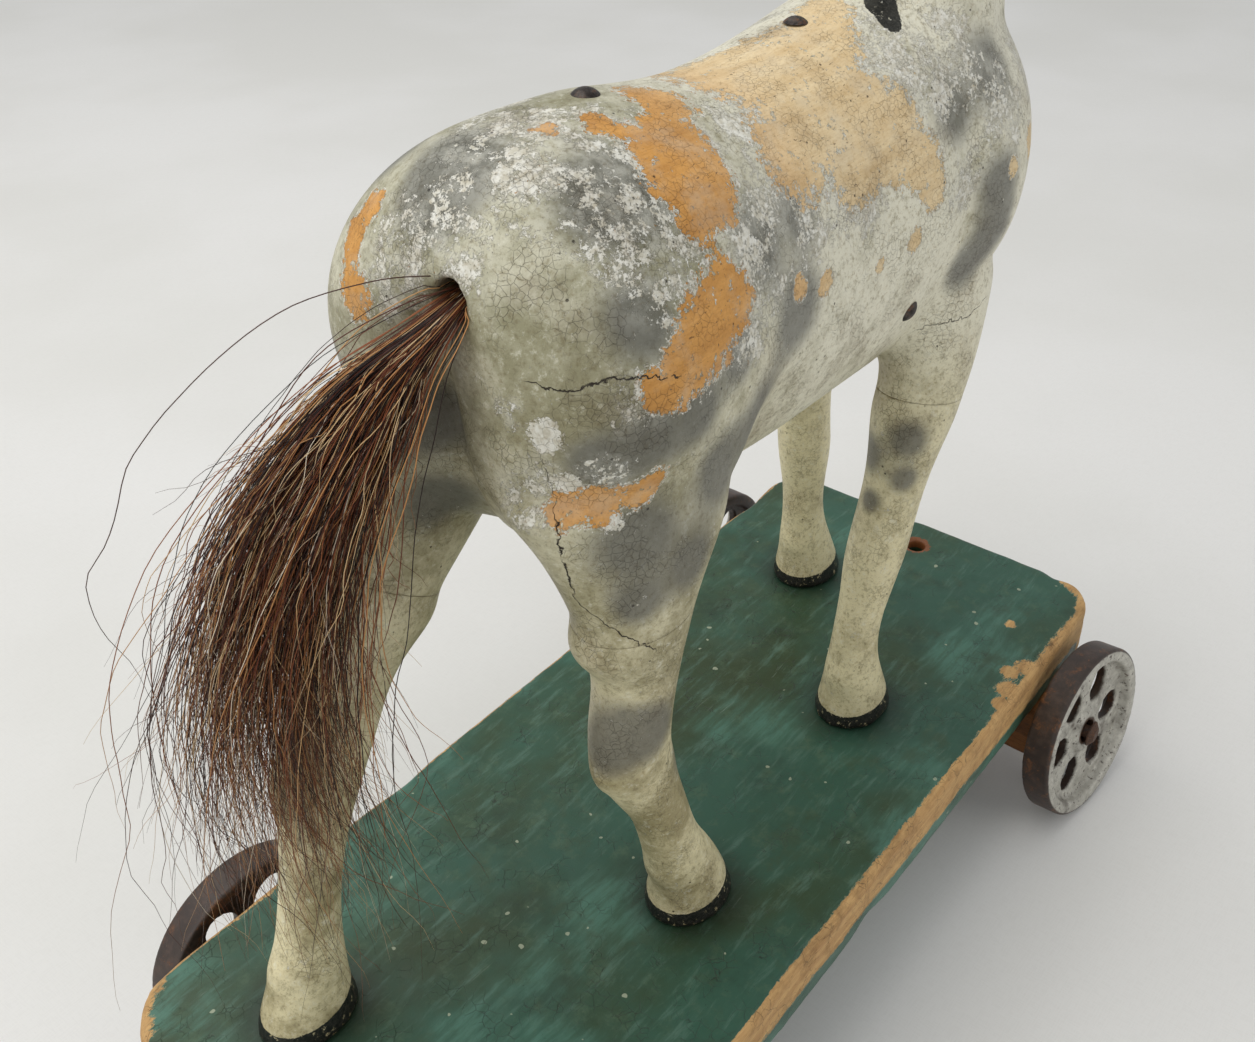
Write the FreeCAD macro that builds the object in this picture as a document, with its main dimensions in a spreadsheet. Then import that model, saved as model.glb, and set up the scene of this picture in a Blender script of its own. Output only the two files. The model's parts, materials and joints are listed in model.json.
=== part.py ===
"""A carved wooden horse on a wheeled board: an old pull-along toy, as a FreeCAD document in millimetres.

+X is the way the horse faces, +Y is its left and +Z is up. The origin is on the floor under the
middle of the board. Each piece is one document object, whose Label is the name of its STEP file.
"""
import FreeCAD, Part
import math
import os
import Sketcher

doc = FreeCAD.newDocument("pull_along_horse")
sheet = doc.addObject("Spreadsheet::Sheet", "sizes")
V = FreeCAD.Vector

# ---------------------------------------------------------------- driving dimensions
SIZES = {
    # board
    "board_length": 331.6, "board_width": 137.0, "board_thick": 22.5, "board_top": 65.0,
    "board_corner": 15.0, "board_round": 1.6, "cord_hole_x": 150.2, "cord_hole_radius": 3.4,
    # wheels and axles
    "wheel_radius": 32.0, "wheel_width": 10.3, "rim_depth": 5.0, "hub_radius": 8.0,
    "hub_outer": 2.8, "hub_inner": 4.2, "web_outer": 1.6, "web_inner": 2.6, "wheel_y": 82.35,
    "window_ring": 17.4, "window_long": 6.6, "window_short": 5.4, "window_count": 6, "cast_bevel": 0.6,
    "axle_radius": 2.5, "axle_play": 0.06, "worn_bore_radius": 4.0, "wheel_lean": 8.0, "wheel_toe": 6.0,
    "front_axle_x": 128.4, "rear_axle_x": -115.3,
    "head_radius": 4.7, "head_start": 86.3, "head_thick": 2.0, "head_edge": 0.5, "head_flat": 0.55,
    "washer_radius": 7.0, "washer_bore": 2.8, "washer_thick": 1.5, "washer_gap": 0.3,
    # blocks that carry the axles under the board
    "block_length": 149.0, "block_wide": 30.0, "block_tall": 22.0, "block_chamfer": 2.5,
    "screw_radius": 2.0, "screw_head_radius": 4.0, "screw_head_tall": 2.4, "screw_length": 34.0,
    "screw_x": 9.0, "screw_y": 45.0,
    # pegs, nails, plug and tail
    "peg_radius": 4.0, "foot_peg_up": 14.0, "foot_peg_down": 14.0, "leg_peg_half": 15.0,
    "neck_peg_half": 20.0, "nail_radius": 0.9, "nail_length": 16.0, "nail_head_radius": 3.1,
    "nail_head_tall": 1.5, "nail_proud": 0.5, "tail_hole_radius": 4.2, "tail_hole_depth": 22.0,
    "tail_hole_outside": 14.0, "tail_root_x": -82.0, "tail_root_y": -7.0, "tail_root_z": 266.0,
    "plug_start": 5.0, "plug_length": 16.5,
    # eyes and ears
    "eye_radius": 4.2, "eye_x": 121.0, "eye_y": 13.4, "eye_z": 357.0, "ear_base_radius": 5.2,
    "ear_tip_radius": 1.0, "ear_length": 25.0, "ear_x": 107.0, "ear_y": 8.5, "ear_z": 372.0,
}


def fill_sheet(values):
    """Put each value in its own cell, with its name as the cell's alias."""
    for row, (name, value) in enumerate(values.items(), start=1):
        sheet.set(f"A{row}", name)
        sheet.set(f"B{row}", str(value))
        sheet.setAlias(f"B{row}", name)


# Carved forms are lofted through rings. A ring is (x, y, z, pitch, tall, wide): its centre, the
# angle of its normal above the X axis, its half size in the horse's side view and its half width.
RINGS = {
    "trunk": [
        (-88, 0, 244, 6, 20, 23), (-85, 0, 243, 4, 30, 33), (-76, 0, 243, 2, 41, 41),
        (-55, 0, 242, 0, 47.5, 43), (-25, 0, 239, 0, 48.5, 40.5), (6, 0, 236, 0, 49, 37.5),
        (38, 0, 236, 0, 50, 37.5), (66, 0, 238, 0, 52, 39), (92, 0, 240, 0, 50, 39),
        (112, 0, 241, 0, 42, 34), (122, 0, 241, 0, 30, 25), (126, 0, 241, 0, 16, 13)],
    "neck_root": [(84, 0, 246, 82, 36, 32), (91, 0, 272, 78, 32, 28), (98, 0, 296, 72, 28, 23)],
    "neck_top": [(98, 0, 296, 72, 28, 23), (106, 0, 320, 66, 24, 19), (115, 0, 342, 56, 20.5, 16.5),
                 (122, 0, 356, 42, 19.5, 15)],
    "head": [(107, 0, 371, -50, 12, 11), (113, 0, 363.5, -52, 18.5, 15.5), (122, 0, 352, -53, 19, 15),
             (131, 0, 340, -54, 16, 12.5), (140, 0, 327, -55, 12.5, 11), (147, 0, 317, -56, 11.5, 11),
             (150.5, 0, 312, -56, 8, 8)],
    "front_right_root": [
        (84, -22, 214, 84, 24, 15), (83, -25, 192, 80, 19, 13.5), (79, -26, 176, 76, 15.5, 12)],
    "front_left_root": [
        (86, 22, 214, 96, 24, 15), (91, 25, 192, 98, 19, 13.5), (95, 26, 176, 98, 15.5, 12)],
    "rear_right_root": [
        (-60, -23, 226, 94, 31, 17), (-61, -27, 204, 92, 22, 15), (-62, -29, 186, 90, 15.5, 12.5)],
    "rear_left_root": [
        (-66, 23, 226, 78, 33, 17), (-78, 26, 202, 64, 24, 15.5), (-88, 27, 184, 56, 16.5, 13)],
    "front_right_leg": [
        (79, -26, 176, 76, 15.5, 12), (73, -26, 160, 76, 12.5, 10.5), (67, -26, 141, 74, 10, 9),
        (61, -26, 124, 72, 9.5, 8.8), (56.5, -26, 108, 76, 7.8, 7.4), (54.5, -26, 92, 86, 8.2, 7.6),
        (55.5, -26, 81, 96, 10.2, 9), (57, -26, 72, 92, 12.5, 10.6), (57.7, -26, 65, 90, 14.5, 12)],
    "front_left_leg": [
        (95, 26, 176, 98, 15.5, 12), (98.5, 26, 160, 98, 12, 10.5), (101, 26, 141, 97, 9.6, 9),
        (103, 26, 124, 97, 9.3, 8.8), (104.6, 26, 108, 95, 7.8, 7.4), (106.2, 26, 92, 96, 8.2, 7.6),
        (108.6, 26, 81, 98, 10.2, 9), (110.6, 26, 72, 93, 12.5, 10.6), (111.6, 26, 65, 90, 14.5, 12)],
    "rear_right_leg": [
        (-62, -29, 186, 90, 15.5, 12.5), (-62.5, -29, 172, 90, 13, 11), (-63.5, -29, 157, 92, 11.5, 9.6),
        (-64, -29, 144, 99, 11.3, 9), (-60, -29, 130, 112, 9.6, 8.2), (-53.5, -29, 114, 108, 8, 7.6),
        (-47.5, -29, 95, 104, 8.6, 7.8), (-42.5, -29, 82, 104, 10.4, 9), (-39.8, -29, 72, 94, 12.5, 10.6),
        (-39, -29, 65, 90, 14.5, 12)],
    "rear_left_leg": [
        (-88, 27, 184, 56, 16.5, 13), (-97, 27, 170, 56, 13.2, 11.3), (-106, 27, 156, 60, 12.3, 9.6),
        (-113, 27, 143, 68, 12.6, 9), (-118, 27, 129, 74, 10, 8.2), (-122.5, 27, 113, 76, 8.2, 7.6),
        (-126.5, 27, 96, 80, 8.6, 7.8), (-129.5, 27, 82, 84, 10.4, 9), (-131.8, 27, 72, 88, 12.5, 10.6),
        (-132.6, 27, 65, 90, 14.5, 12)],
    "tail": [
        (-77.5, -7, 267.6, -160, 3.0, 3.0), (-85, -7, 264.9, -160, 3.3, 3.3),
        (-93.5, -7, 261.8, -160, 3.8, 3.8), (-99.5, -6, 258, -150, 6.2, 6.2),
        (-105.5, -4, 251.5, -138, 9.5, 9.5), (-113, -1, 239, -125, 13, 14),
        (-121, 2, 220, -115, 16, 17), (-128, 3, 200, -104, 17, 19), (-132, 4, 178, -96, 16, 19),
        (-134, 4, 155, -90, 13, 16), (-133, 4, 134, -86, 9, 11), (-132, 4, 118, -86, 4, 6)],
}
# The numbers of a ring that have cells of their own. The pitch turns the ring in ring_frame().
RING_CELLS = {"at_x": 0, "at_y": 1, "at_z": 2, "tall": 4, "wide": 5}

# Where each nail stands: its place on the skin and the way its head faces.
NAILS = {
    "croup_nail": ((-39.2, 0, 289.4), (0, 0, 1)),
    "withers_nail": ((39.4, 0, 286.4), (0.05, 0, 1)),
    "side_nail_right": ((47, -34.9, 217), (0, -0.93, -0.36)),
    "side_nail_left": ((47, 34.9, 217), (0, 0.93, -0.36)),
}
CORNERS = ("front_right", "front_left", "rear_right", "rear_left")
WHEELS = {"front_left": 1, "front_right": -1, "rear_left": 1, "rear_right": -1}
TAIL_INWARD = (0.94, 0, 0.34)
EAR_TILT = (-0.12, 0.22, 1)

cells = dict(SIZES)
for part_name, rings in RINGS.items():
    for number, ring in enumerate(rings):
        for word, place in RING_CELLS.items():
            cells[f"{part_name}_ring{number}_{word}"] = ring[place]
fill_sheet(cells)
doc.recompute()


def size(name):
    """The value of one cell of the sheet."""
    return float(sheet.get(name))


def bind(obj, **properties):
    """Bind each property of an object to an expression of the sheet's cells."""
    for prop, expression in properties.items():
        obj.setExpression(prop.replace("__", "."), expression)
    return obj


def cell(name):
    return f"sizes.{name}"


finished = []


def finish(obj, label):
    """Give a finished piece its own name and put it on the list of pieces to write."""
    obj.Label = label
    finished.append(obj)
    return obj


# ---------------------------------------------------------------- lofted and joined forms
def ring_frame(pitch):
    """The turn of a ring whose normal stands at a pitch above +X, with its long axis in the side view."""
    angle = math.radians(pitch)
    normal = V(math.cos(angle), 0, math.sin(angle))
    rise = V(-math.sin(angle), 0, math.cos(angle))
    return FreeCAD.Rotation(rise, normal.cross(rise), normal, "XYZ")


def loft(form):
    """Loft a carved form through its rings, each an ellipse bound to its own cells."""
    sections = []
    for number, (x, y, z, pitch, tall, wide) in enumerate(RINGS[form]):
        name = f"{form}_ring{number}"
        ellipse = doc.addObject("Part::Ellipse", name)
        ellipse.MajorRadius = max(tall, wide)
        long_way, short_way = ("tall", "wide") if tall >= wide else ("wide", "tall")
        bind(ellipse, MajorRadius=cell(f"{name}_{long_way}"), MinorRadius=cell(f"{name}_{short_way}"))
        turn = ring_frame(pitch)
        if wide > tall:
            turn = turn.multiply(FreeCAD.Rotation(V(0, 0, 1), 90))
        ellipse.Placement = FreeCAD.Placement(V(x, y, z), turn)
        bind(ellipse, Placement__Base__x=cell(f"{name}_at_x"), Placement__Base__y=cell(f"{name}_at_y"),
             Placement__Base__z=cell(f"{name}_at_z"))
        sections.append(ellipse)
    body = doc.addObject("Part::Loft", f"{form}_loft")
    body.Sections = sections
    body.Solid = True
    return body


def rod(name, centre, along, radius_cell, half_cell):
    """A round peg centred on a point, bound to the cells of its radius and half length."""
    peg = doc.addObject("Part::Cylinder", name)
    bind(peg, Radius=cell(radius_cell), Height=f"2 * {cell(half_cell)}")
    turn = FreeCAD.Rotation(V(0, 0, 1), V(*along))
    half = size(half_cell)
    peg.Placement = FreeCAD.Placement(V(*centre) - turn.multVec(V(0, 0, half)), turn)
    return peg


def pin(name, base, along, radius_cell, length_cell):
    """A round bar that starts at a point, bound to the cells of its radius and length."""
    bar = doc.addObject("Part::Cylinder", name)
    bind(bar, Radius=cell(radius_cell), Height=cell(length_cell))
    bar.Placement = FreeCAD.Placement(V(*base), FreeCAD.Rotation(V(0, 0, 1), V(*along)))
    return bar


def joined(name, parts):
    fused = doc.addObject("Part::MultiFuse", name)
    fused.Shapes = parts
    return fused


def grouped(name, parts):
    group = doc.addObject("Part::Compound", name)
    group.Links = parts
    return group


def cut(name, base, tools):
    """Take tools away from a base. Several tools are held as one group first."""
    taken = doc.addObject("Part::Cut", name)
    taken.Base = base
    taken.Tool = tools[0] if len(tools) == 1 else joined(f"{name}_tools", tools)
    return taken


def on_plane(body, role):
    return next(plane for plane in body.Origin.OriginFeatures if plane.Role == role)


def sketch_on(body, name, role):
    sketch = body.newObject("Sketcher::SketchObject", name)
    sketch.AttachmentSupport = [(on_plane(body, role), "")]
    sketch.MapMode = "FlatFace"
    return sketch


def close_outline(sketch, points):
    """Draw straight edges through points, all joined, and the last one back to the first."""
    count = len(points)
    for number in range(count):
        here, there = points[number], points[(number + 1) % count]
        sketch.addGeometry(Part.LineSegment(V(*here, 0), V(*there, 0)), False)
    for number in range(count):
        sketch.addConstraint(Sketcher.Constraint("Coincident", number, 2, (number + 1) % count, 1))


# ---------------------------------------------------------------- the board
def make_board():
    """A planed board with round corners, eased edges, a cord hole and a socket for each foot's peg."""
    body = doc.addObject("PartDesign::Body", "board_body")
    outline = sketch_on(body, "board_outline", "XY_Plane")
    half_x, half_y = size("board_length") / 2, size("board_width") / 2
    close_outline(outline, [(-half_x, -half_y), (half_x, -half_y), (half_x, half_y), (-half_x, half_y)])
    for edge, way in enumerate(("Horizontal", "Vertical", "Horizontal", "Vertical")):
        outline.addConstraint(Sketcher.Constraint(way, edge))
    outline.addConstraint(Sketcher.Constraint("Symmetric", 0, 1, 1, 2, -1, 1))
    for edge, alias in ((0, "board_length"), (1, "board_width")):
        number = outline.addConstraint(Sketcher.Constraint("Distance", edge, size(alias)))
        outline.setExpression(f"Constraints[{number}]", cell(alias))
    pad = body.newObject("PartDesign::Pad", "board_pad")
    pad.Profile = outline
    bind(pad, Length=cell("board_thick"))
    doc.recompute()
    upright = [f"Edge{n}" for n, edge in enumerate(pad.Shape.Edges, start=1)
               if abs(edge.tangentAt(edge.FirstParameter).z) > 0.99]
    corners = body.newObject("PartDesign::Fillet", "board_corners")
    corners.Base = (pad, upright)
    bind(corners, Radius=cell("board_corner"))
    doc.recompute()
    level = [f"Edge{n}" for n, edge in enumerate(corners.Shape.Edges, start=1)
             if edge.BoundBox.ZLength < 0.01]
    eased = body.newObject("PartDesign::Fillet", "board_edges")
    eased.Base = (corners, level)
    bind(eased, Radius=cell("board_round"))
    body.Placement.Base = V(0, 0, size("board_top") - size("board_thick"))
    bind(body, Placement__Base__z=f"{cell('board_top')} - {cell('board_thick')}")
    doc.recompute()
    through = pin("cord_hole", (0, 0, 0), (0, 0, 1), "cord_hole_radius", "board_top")
    bind(through, Height=f"2 * {cell('board_top')}", Placement__Base__x=cell("cord_hole_x"))
    return body, through


# ---------------------------------------------------------------- wheels, axles and their blocks
def make_wheel(corner):
    """A cast wheel with a deep rim, a thin web with six oval windows and a hub, made about its own Z axis."""
    body = doc.addObject("PartDesign::Body", f"wheel_{corner}_body")
    worn = corner == "front_right"
    bore = size("worn_bore_radius") if worn else size("axle_radius") + size("axle_play")
    rim, half = size("wheel_radius"), size("wheel_width") / 2
    inside, hub = rim - size("rim_depth"), size("hub_radius")
    web_out, web_in, slope = size("web_outer"), size("web_inner"), size("cast_bevel")
    hub_out, hub_in = size("hub_outer"), size("hub_inner")
    profile = sketch_on(body, f"wheel_{corner}_profile", "XZ_Plane")
    close_outline(profile, [
        (bore, -hub_in), (hub, -hub_in), (hub + slope, -web_in), (inside - slope, -web_in),
        (inside, -half + slope), (inside + slope, -half), (rim - slope, -half), (rim, -half + slope),
        (rim, half - slope), (rim - slope, half), (inside + slope, half), (inside, half - slope),
        (inside - slope, web_out), (hub + slope, web_out), (hub, hub_out), (bore, hub_out)])
    turned = body.newObject("PartDesign::Revolution", f"wheel_{corner}_turned")
    turned.Profile = profile
    turned.ReferenceAxis = (profile, ["V_Axis"])
    turned.Angle = 360
    doc.recompute()
    before = turned.Shape.Volume
    window = sketch_on(body, f"wheel_{corner}_window", "XY_Plane")
    centre = V(size("window_ring"), 0, 0)
    oval = Part.Ellipse(centre + V(size("window_long"), 0, 0), centre + V(0, size("window_short"), 0), centre)
    window.addGeometry(oval, False)
    opened = body.newObject("PartDesign::Pocket", f"wheel_{corner}_window_cut")
    opened.Profile = window
    opened.Type = "ThroughAll"
    opened.Midplane = True
    doc.recompute()
    around = body.newObject("PartDesign::PolarPattern", f"wheel_{corner}_windows")
    around.Originals = [opened]
    around.Axis = (window, ["N_Axis"])
    around.Angle = 360
    around.Occurrences = int(size("window_count"))
    bind(around, Occurrences=cell("window_count"))
    body.Tip = around
    doc.recompute()
    one_window = math.pi * size("window_long") * size("window_short") * (web_out + web_in)
    if before - body.Shape.Volume < 0.9 * size("window_count") * one_window:
        raise RuntimeError(f"the windows of wheel_{corner} were not cut")
    side = WHEELS[corner]
    lean, toe = (math.radians(size(word)) if worn else 0.0 for word in ("wheel_lean", "wheel_toe"))
    outward = V(-math.sin(toe) * math.cos(lean), side * math.cos(toe) * math.cos(lean), math.sin(lean))
    height = rim * math.cos(lean) + half * math.sin(lean)
    axle_x = size("front_axle_x") if corner.startswith("front") else size("rear_axle_x")
    upright = V(0, 0, 1) - outward * outward.z
    turn = FreeCAD.Rotation(upright.cross(outward), upright, outward, "ZYX")
    body.Placement = FreeCAD.Placement(V(axle_x, side * size("wheel_y"), height), turn)
    print(f"wheel_{corner}: centre {tuple(round(v, 3) for v in body.Placement.Base)}, "
          f"axis {tuple(round(v * side, 5) for v in outward)}")
    return finish(body, f"wheel_{corner}")


def make_axle(end, axle_x):
    """A straight iron axle whose two ends are hammered over into low domed heads."""
    body = doc.addObject("PartDesign::Body", f"{end}_axle_body")
    profile = sketch_on(body, f"{end}_axle_profile", "XZ_Plane")
    start, tip = size("head_start"), size("head_start") + size("head_thick")
    radius, head = size("axle_radius"), size("head_radius")
    flat, edge = head * size("head_flat"), start + size("head_edge")
    close_outline(profile, [
        (0, -tip), (flat, -tip), (head, -edge), (head, -start), (radius, -start),
        (radius, start), (head, start), (head, edge), (flat, tip), (0, tip)])
    turned = body.newObject("PartDesign::Revolution", f"{end}_axle_turned")
    turned.Profile = profile
    turned.ReferenceAxis = (profile, ["V_Axis"])
    turned.Angle = 360
    body.Placement = FreeCAD.Placement(V(axle_x, 0, size("wheel_radius")), FreeCAD.Rotation(V(1, 0, 0), -90))
    bind(body, Placement__Base__x=cell(f"{end}_axle_x"))
    return finish(body, f"{end}_axle")


def make_block(end, axle_x):
    """A hardwood block under the board that the axle runs through, with its lower edges chamfered."""
    box = doc.addObject("Part::Box", f"{end}_block_box")
    bind(box, Length=cell("block_wide"), Width=cell("block_length"), Height=cell("block_tall"))
    top = size("board_top") - size("board_thick")
    half_x, half_y = size("block_wide") / 2, size("block_length") / 2
    box.Placement.Base = V(axle_x - half_x, -half_y, top - size("block_tall"))
    doc.recompute()
    ease = size("block_chamfer")
    low = [(n, ease, ease) for n, edge in enumerate(box.Shape.Edges, start=1)
           if edge.BoundBox.ZMax < top - 1 and edge.BoundBox.YLength > 1]
    eased = doc.addObject("Part::Chamfer", f"{end}_block_eased")
    eased.Base = box
    eased.Edges = low
    tunnel = pin(f"{end}_axle_tunnel", (axle_x, -size("block_length"), size("wheel_radius")), (0, 1, 0),
                 "axle_radius", "block_length")
    bind(tunnel, Height=f"2 * {cell('block_length')}")
    return eased, tunnel


def make_screws(end, axle_x):
    """Two countersunk screws that come up through a block into the board."""
    screws = []
    low = size("board_top") - size("board_thick") - size("block_tall")
    for side in (-1, 1):
        foot = (axle_x + side * size("screw_x"), side * size("screw_y"), low)
        shank = pin(f"{end}_screw_shank_{side + 1}", foot, (0, 0, 1), "screw_radius", "screw_length")
        head = doc.addObject("Part::Cone", f"{end}_screw_head_{side + 1}")
        bind(head, Radius1=cell("screw_head_radius"), Radius2=cell("screw_radius"),
             Height=cell("screw_head_tall"))
        head.Placement.Base = V(*foot)
        screws.append(joined(f"{end}_screw_{side + 1}", [shank, head]))
    return screws


def make_washers():
    """A plain washer on the axle between each block and its wheel."""
    rings = []
    for end in ("front", "rear"):
        for side in (-1, 1):
            name = f"{end}_washer_{side + 1}"
            near = side * (size("block_length") / 2 + size("washer_gap"))
            base = (size(f"{end}_axle_x"), near, size("wheel_radius"))
            plate = pin(f"{name}_plate", base, (0, side, 0), "washer_radius", "washer_thick")
            eye = pin(f"{name}_eye", base, (0, side, 0), "washer_bore", "washer_thick")
            rings.append(cut(name, plate, [eye]))
    return finish(grouped("washers", rings), "axle_washers")


# ---------------------------------------------------------------- the horse
def middle(form, number):
    """The centre of one ring of a form, and the way the ring faces."""
    x, y, z, pitch, _tall, _wide = RINGS[form][number]
    angle = math.radians(pitch)
    return (x, y, z), (math.cos(angle), 0, math.sin(angle))


def make_nail(name):
    """A domed upholstery nail: a short shank under a low domed head."""
    place, facing = NAILS[name]
    outward = V(*facing).normalize()
    turn = FreeCAD.Rotation(V(0, 0, 1), outward)
    shank = pin(f"{name}_shank", place, facing, "nail_radius", "nail_length")
    sunk = size("nail_length") - size("nail_proud")
    shank.Placement = FreeCAD.Placement(V(*place) - outward * sunk, turn)
    dome = doc.addObject("Part::Sphere", f"{name}_dome")
    head, tall = size("nail_head_radius"), size("nail_head_tall")
    ball = (head * head + tall * tall) / (2 * tall)
    dome.Radius = ball
    rise = "(sizes.nail_head_radius^2 + sizes.nail_head_tall^2) / (2 * sizes.nail_head_tall)"
    bind(dome, Radius=rise)
    dome.Angle1 = math.degrees(math.asin((ball - tall) / ball))
    dome.Angle2 = 90
    dome.Placement = FreeCAD.Placement(V(*place) - outward * (ball - tall), turn)
    return joined(f"{name}_whole", [shank, dome])


def make_legs():
    """Four carved legs, each with a peg into the trunk and a peg into the board."""
    leg_pegs, foot_pegs = [], []
    for corner in CORNERS:
        form = f"{corner}_leg"
        joint, along = middle(form, 0)
        sole, _facing = middle(form, -1)
        leg_peg = rod(f"{form}_peg", joint, along, "peg_radius", "leg_peg_half")
        below = (sole[0], sole[1], size("board_top") - size("foot_peg_down"))
        foot_peg = pin(f"{corner}_foot_peg", below, (0, 0, 1), "peg_radius", "foot_peg_up")
        bind(foot_peg, Height=f"{cell('foot_peg_up')} + {cell('foot_peg_down')}")
        finish(cut(f"{form}_bored", loft(form), [leg_peg, foot_peg]), form)
        leg_pegs.append(leg_peg)
        foot_pegs.append(foot_peg)
    finish(grouped("leg_peg_group", leg_pegs), "leg_dowels")
    finish(grouped("foot_peg_group", foot_pegs), "foot_dowels")
    return leg_pegs, foot_pegs


def make_tail():
    """The hair that hangs from a slanted hole in the rump, and the plug that wedges it there."""
    mouth = V(size("tail_root_x"), size("tail_root_y"), size("tail_root_z"))
    inward = V(*TAIL_INWARD).normalize()
    hole = pin("tail_hole", mouth - inward * size("tail_hole_outside"), tuple(inward), "tail_hole_radius",
               "tail_hole_depth")
    bind(hole, Height=f"{cell('tail_hole_depth')} + {cell('tail_hole_outside')}")
    plug = pin("tail_plug_bar", mouth + inward * size("plug_start"), tuple(inward), "tail_hole_radius",
               "plug_length")
    finish(plug, "tail_plug")
    finish(loft("tail"), "tail_hair")
    return hole


def make_trunk(tools):
    """The trunk with the stubs of its neck and legs, bored for whatever is driven into it."""
    forms = ["trunk", "neck_root"] + [f"{corner}_root" for corner in CORNERS]
    trunk = joined("trunk_block", [loft(form) for form in forms])
    doc.recompute()
    return finish(cut("trunk_bored", trunk, tools), "horse_body")


def make_head(neck_peg):
    """The neck and head in one piece, with two leather ears and two glass eyes set into it."""
    details = []
    for side, word in ((1, "left"), (-1, "right")):
        ear = doc.addObject("Part::Cone", f"ear_{word}_cone")
        bind(ear, Radius1=cell("ear_base_radius"), Radius2=cell("ear_tip_radius"), Height=cell("ear_length"))
        ahead, apart, up = EAR_TILT
        ear.Placement = FreeCAD.Placement(V(size("ear_x"), side * size("ear_y"), size("ear_z")),
                                          FreeCAD.Rotation(V(0, 0, 1), V(ahead, side * apart, up)))
        eye = doc.addObject("Part::Sphere", f"eye_{word}_ball")
        bind(eye, Radius=cell("eye_radius"))
        eye.Placement.Base = V(size("eye_x"), side * size("eye_y"), size("eye_z"))
        details += [finish(ear, f"ear_{word}"), finish(eye, f"eye_{word}")]
    head = joined("head_block", [loft("neck_top"), loft("head")])
    return finish(cut("head_bored", head, [neck_peg] + details), "head_and_neck")


def make_horse():
    """The legs, neck peg, nails and tail first, then the trunk and the head, which are bored for them."""
    leg_pegs, foot_pegs = make_legs()
    joint, along = middle("neck_top", 0)
    neck_peg = finish(rod("neck_peg", joint, along, "peg_radius", "neck_peg_half"), "neck_dowel")
    nails = [finish(make_nail(name), name) for name in NAILS]
    hole = make_tail()
    make_trunk([hole, neck_peg] + leg_pegs + nails)
    make_head(neck_peg)
    return foot_pegs


# ---------------------------------------------------------------- put it together
board, cord_hole = make_board()
foot_pegs = make_horse()
all_screws = []
for end in ("front", "rear"):
    axle_x = size(f"{end}_axle_x")
    make_axle(end, axle_x)
    block, tunnel = make_block(end, axle_x)
    screws = make_screws(end, axle_x)
    all_screws += screws
    finish(cut(f"{end}_block_bored", block, [tunnel] + screws), f"{end}_axle_block")
finish(cut("board_bored", board, [cord_hole] + foot_pegs + all_screws), "platform_board")
finish(grouped("screw_group", all_screws), "block_screws")
make_washers()
for corner in WHEELS:
    make_wheel(corner)

doc.recompute()
for obj in doc.Objects:
    if "Invalid" in obj.State or "Error" in obj.State:
        raise RuntimeError(f"{obj.Name} failed: {obj.State}")
os.makedirs("parts", exist_ok=True)
for obj in finished:
    shape = obj.Shape
    if shape.isNull() or not shape.isValid() or not shape.Solids:
        raise RuntimeError(f"{obj.Label} has no valid solid")
    shape.exportStep(f"parts/{obj.Label}.step")
    box = shape.BoundBox
    print(f"{obj.Label:18s} solids {len(shape.Solids)} volume {shape.Volume:10.0f} "
          f"x {box.XMin:.1f}..{box.XMax:.1f} y {box.YMin:.1f}..{box.YMax:.1f} "
          f"z {box.ZMin:.1f}..{box.ZMax:.1f}")
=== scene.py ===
# %% [markdown]
# An old pull-along horse, step by step.
# The horse is carved from wood, primed, painted dapple grey and worn by a century of play. It stands on a
# green board that rolls on spoked iron wheels, and its tail is real hair.
# The lengths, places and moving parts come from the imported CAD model. This file only makes the looks.

# %% Load the fixed frame
import json
import math

import bmesh
import bpy
import numpy as np
from mathutils import Matrix, Vector, bvhtree

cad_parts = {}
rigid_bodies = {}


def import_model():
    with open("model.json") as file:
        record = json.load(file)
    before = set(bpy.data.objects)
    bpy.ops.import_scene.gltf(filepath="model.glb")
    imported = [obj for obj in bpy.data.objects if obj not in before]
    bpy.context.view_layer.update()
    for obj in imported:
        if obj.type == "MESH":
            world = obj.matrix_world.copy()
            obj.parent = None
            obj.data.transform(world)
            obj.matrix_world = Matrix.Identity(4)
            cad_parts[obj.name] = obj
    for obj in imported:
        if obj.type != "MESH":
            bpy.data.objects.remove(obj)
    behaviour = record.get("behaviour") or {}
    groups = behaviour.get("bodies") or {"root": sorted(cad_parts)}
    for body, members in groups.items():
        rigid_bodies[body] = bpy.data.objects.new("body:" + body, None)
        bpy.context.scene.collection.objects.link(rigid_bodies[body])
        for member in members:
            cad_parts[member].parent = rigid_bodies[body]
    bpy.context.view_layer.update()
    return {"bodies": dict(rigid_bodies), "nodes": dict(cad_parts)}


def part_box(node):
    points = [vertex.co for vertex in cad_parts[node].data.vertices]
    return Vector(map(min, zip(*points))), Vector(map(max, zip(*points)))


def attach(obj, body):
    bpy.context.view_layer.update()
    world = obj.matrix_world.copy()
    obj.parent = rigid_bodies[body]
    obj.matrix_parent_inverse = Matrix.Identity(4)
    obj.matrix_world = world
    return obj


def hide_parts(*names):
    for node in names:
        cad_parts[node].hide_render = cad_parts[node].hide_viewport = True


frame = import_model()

MM = 0.001
NODES = frame["nodes"]

# %% [markdown]
# The camera looks down on the right hip from behind, close to the toy, so the perspective is strong. The head
# stays above the picture. A position and three angles say it all: where the camera stands round the toy, how
# far it looks down, and how little it is rolled.

# %% Camera
CAMERA_PLACE = Vector((-242.9, -174.6, 374.8)) * MM
CAMERA_AZIMUTH, CAMERA_TILT, CAMERA_ROLL = math.radians(-50.9), math.radians(35.5), math.radians(-1.0)
LENS_MM, SENSOR_MM = 38.1, 36.0


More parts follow.
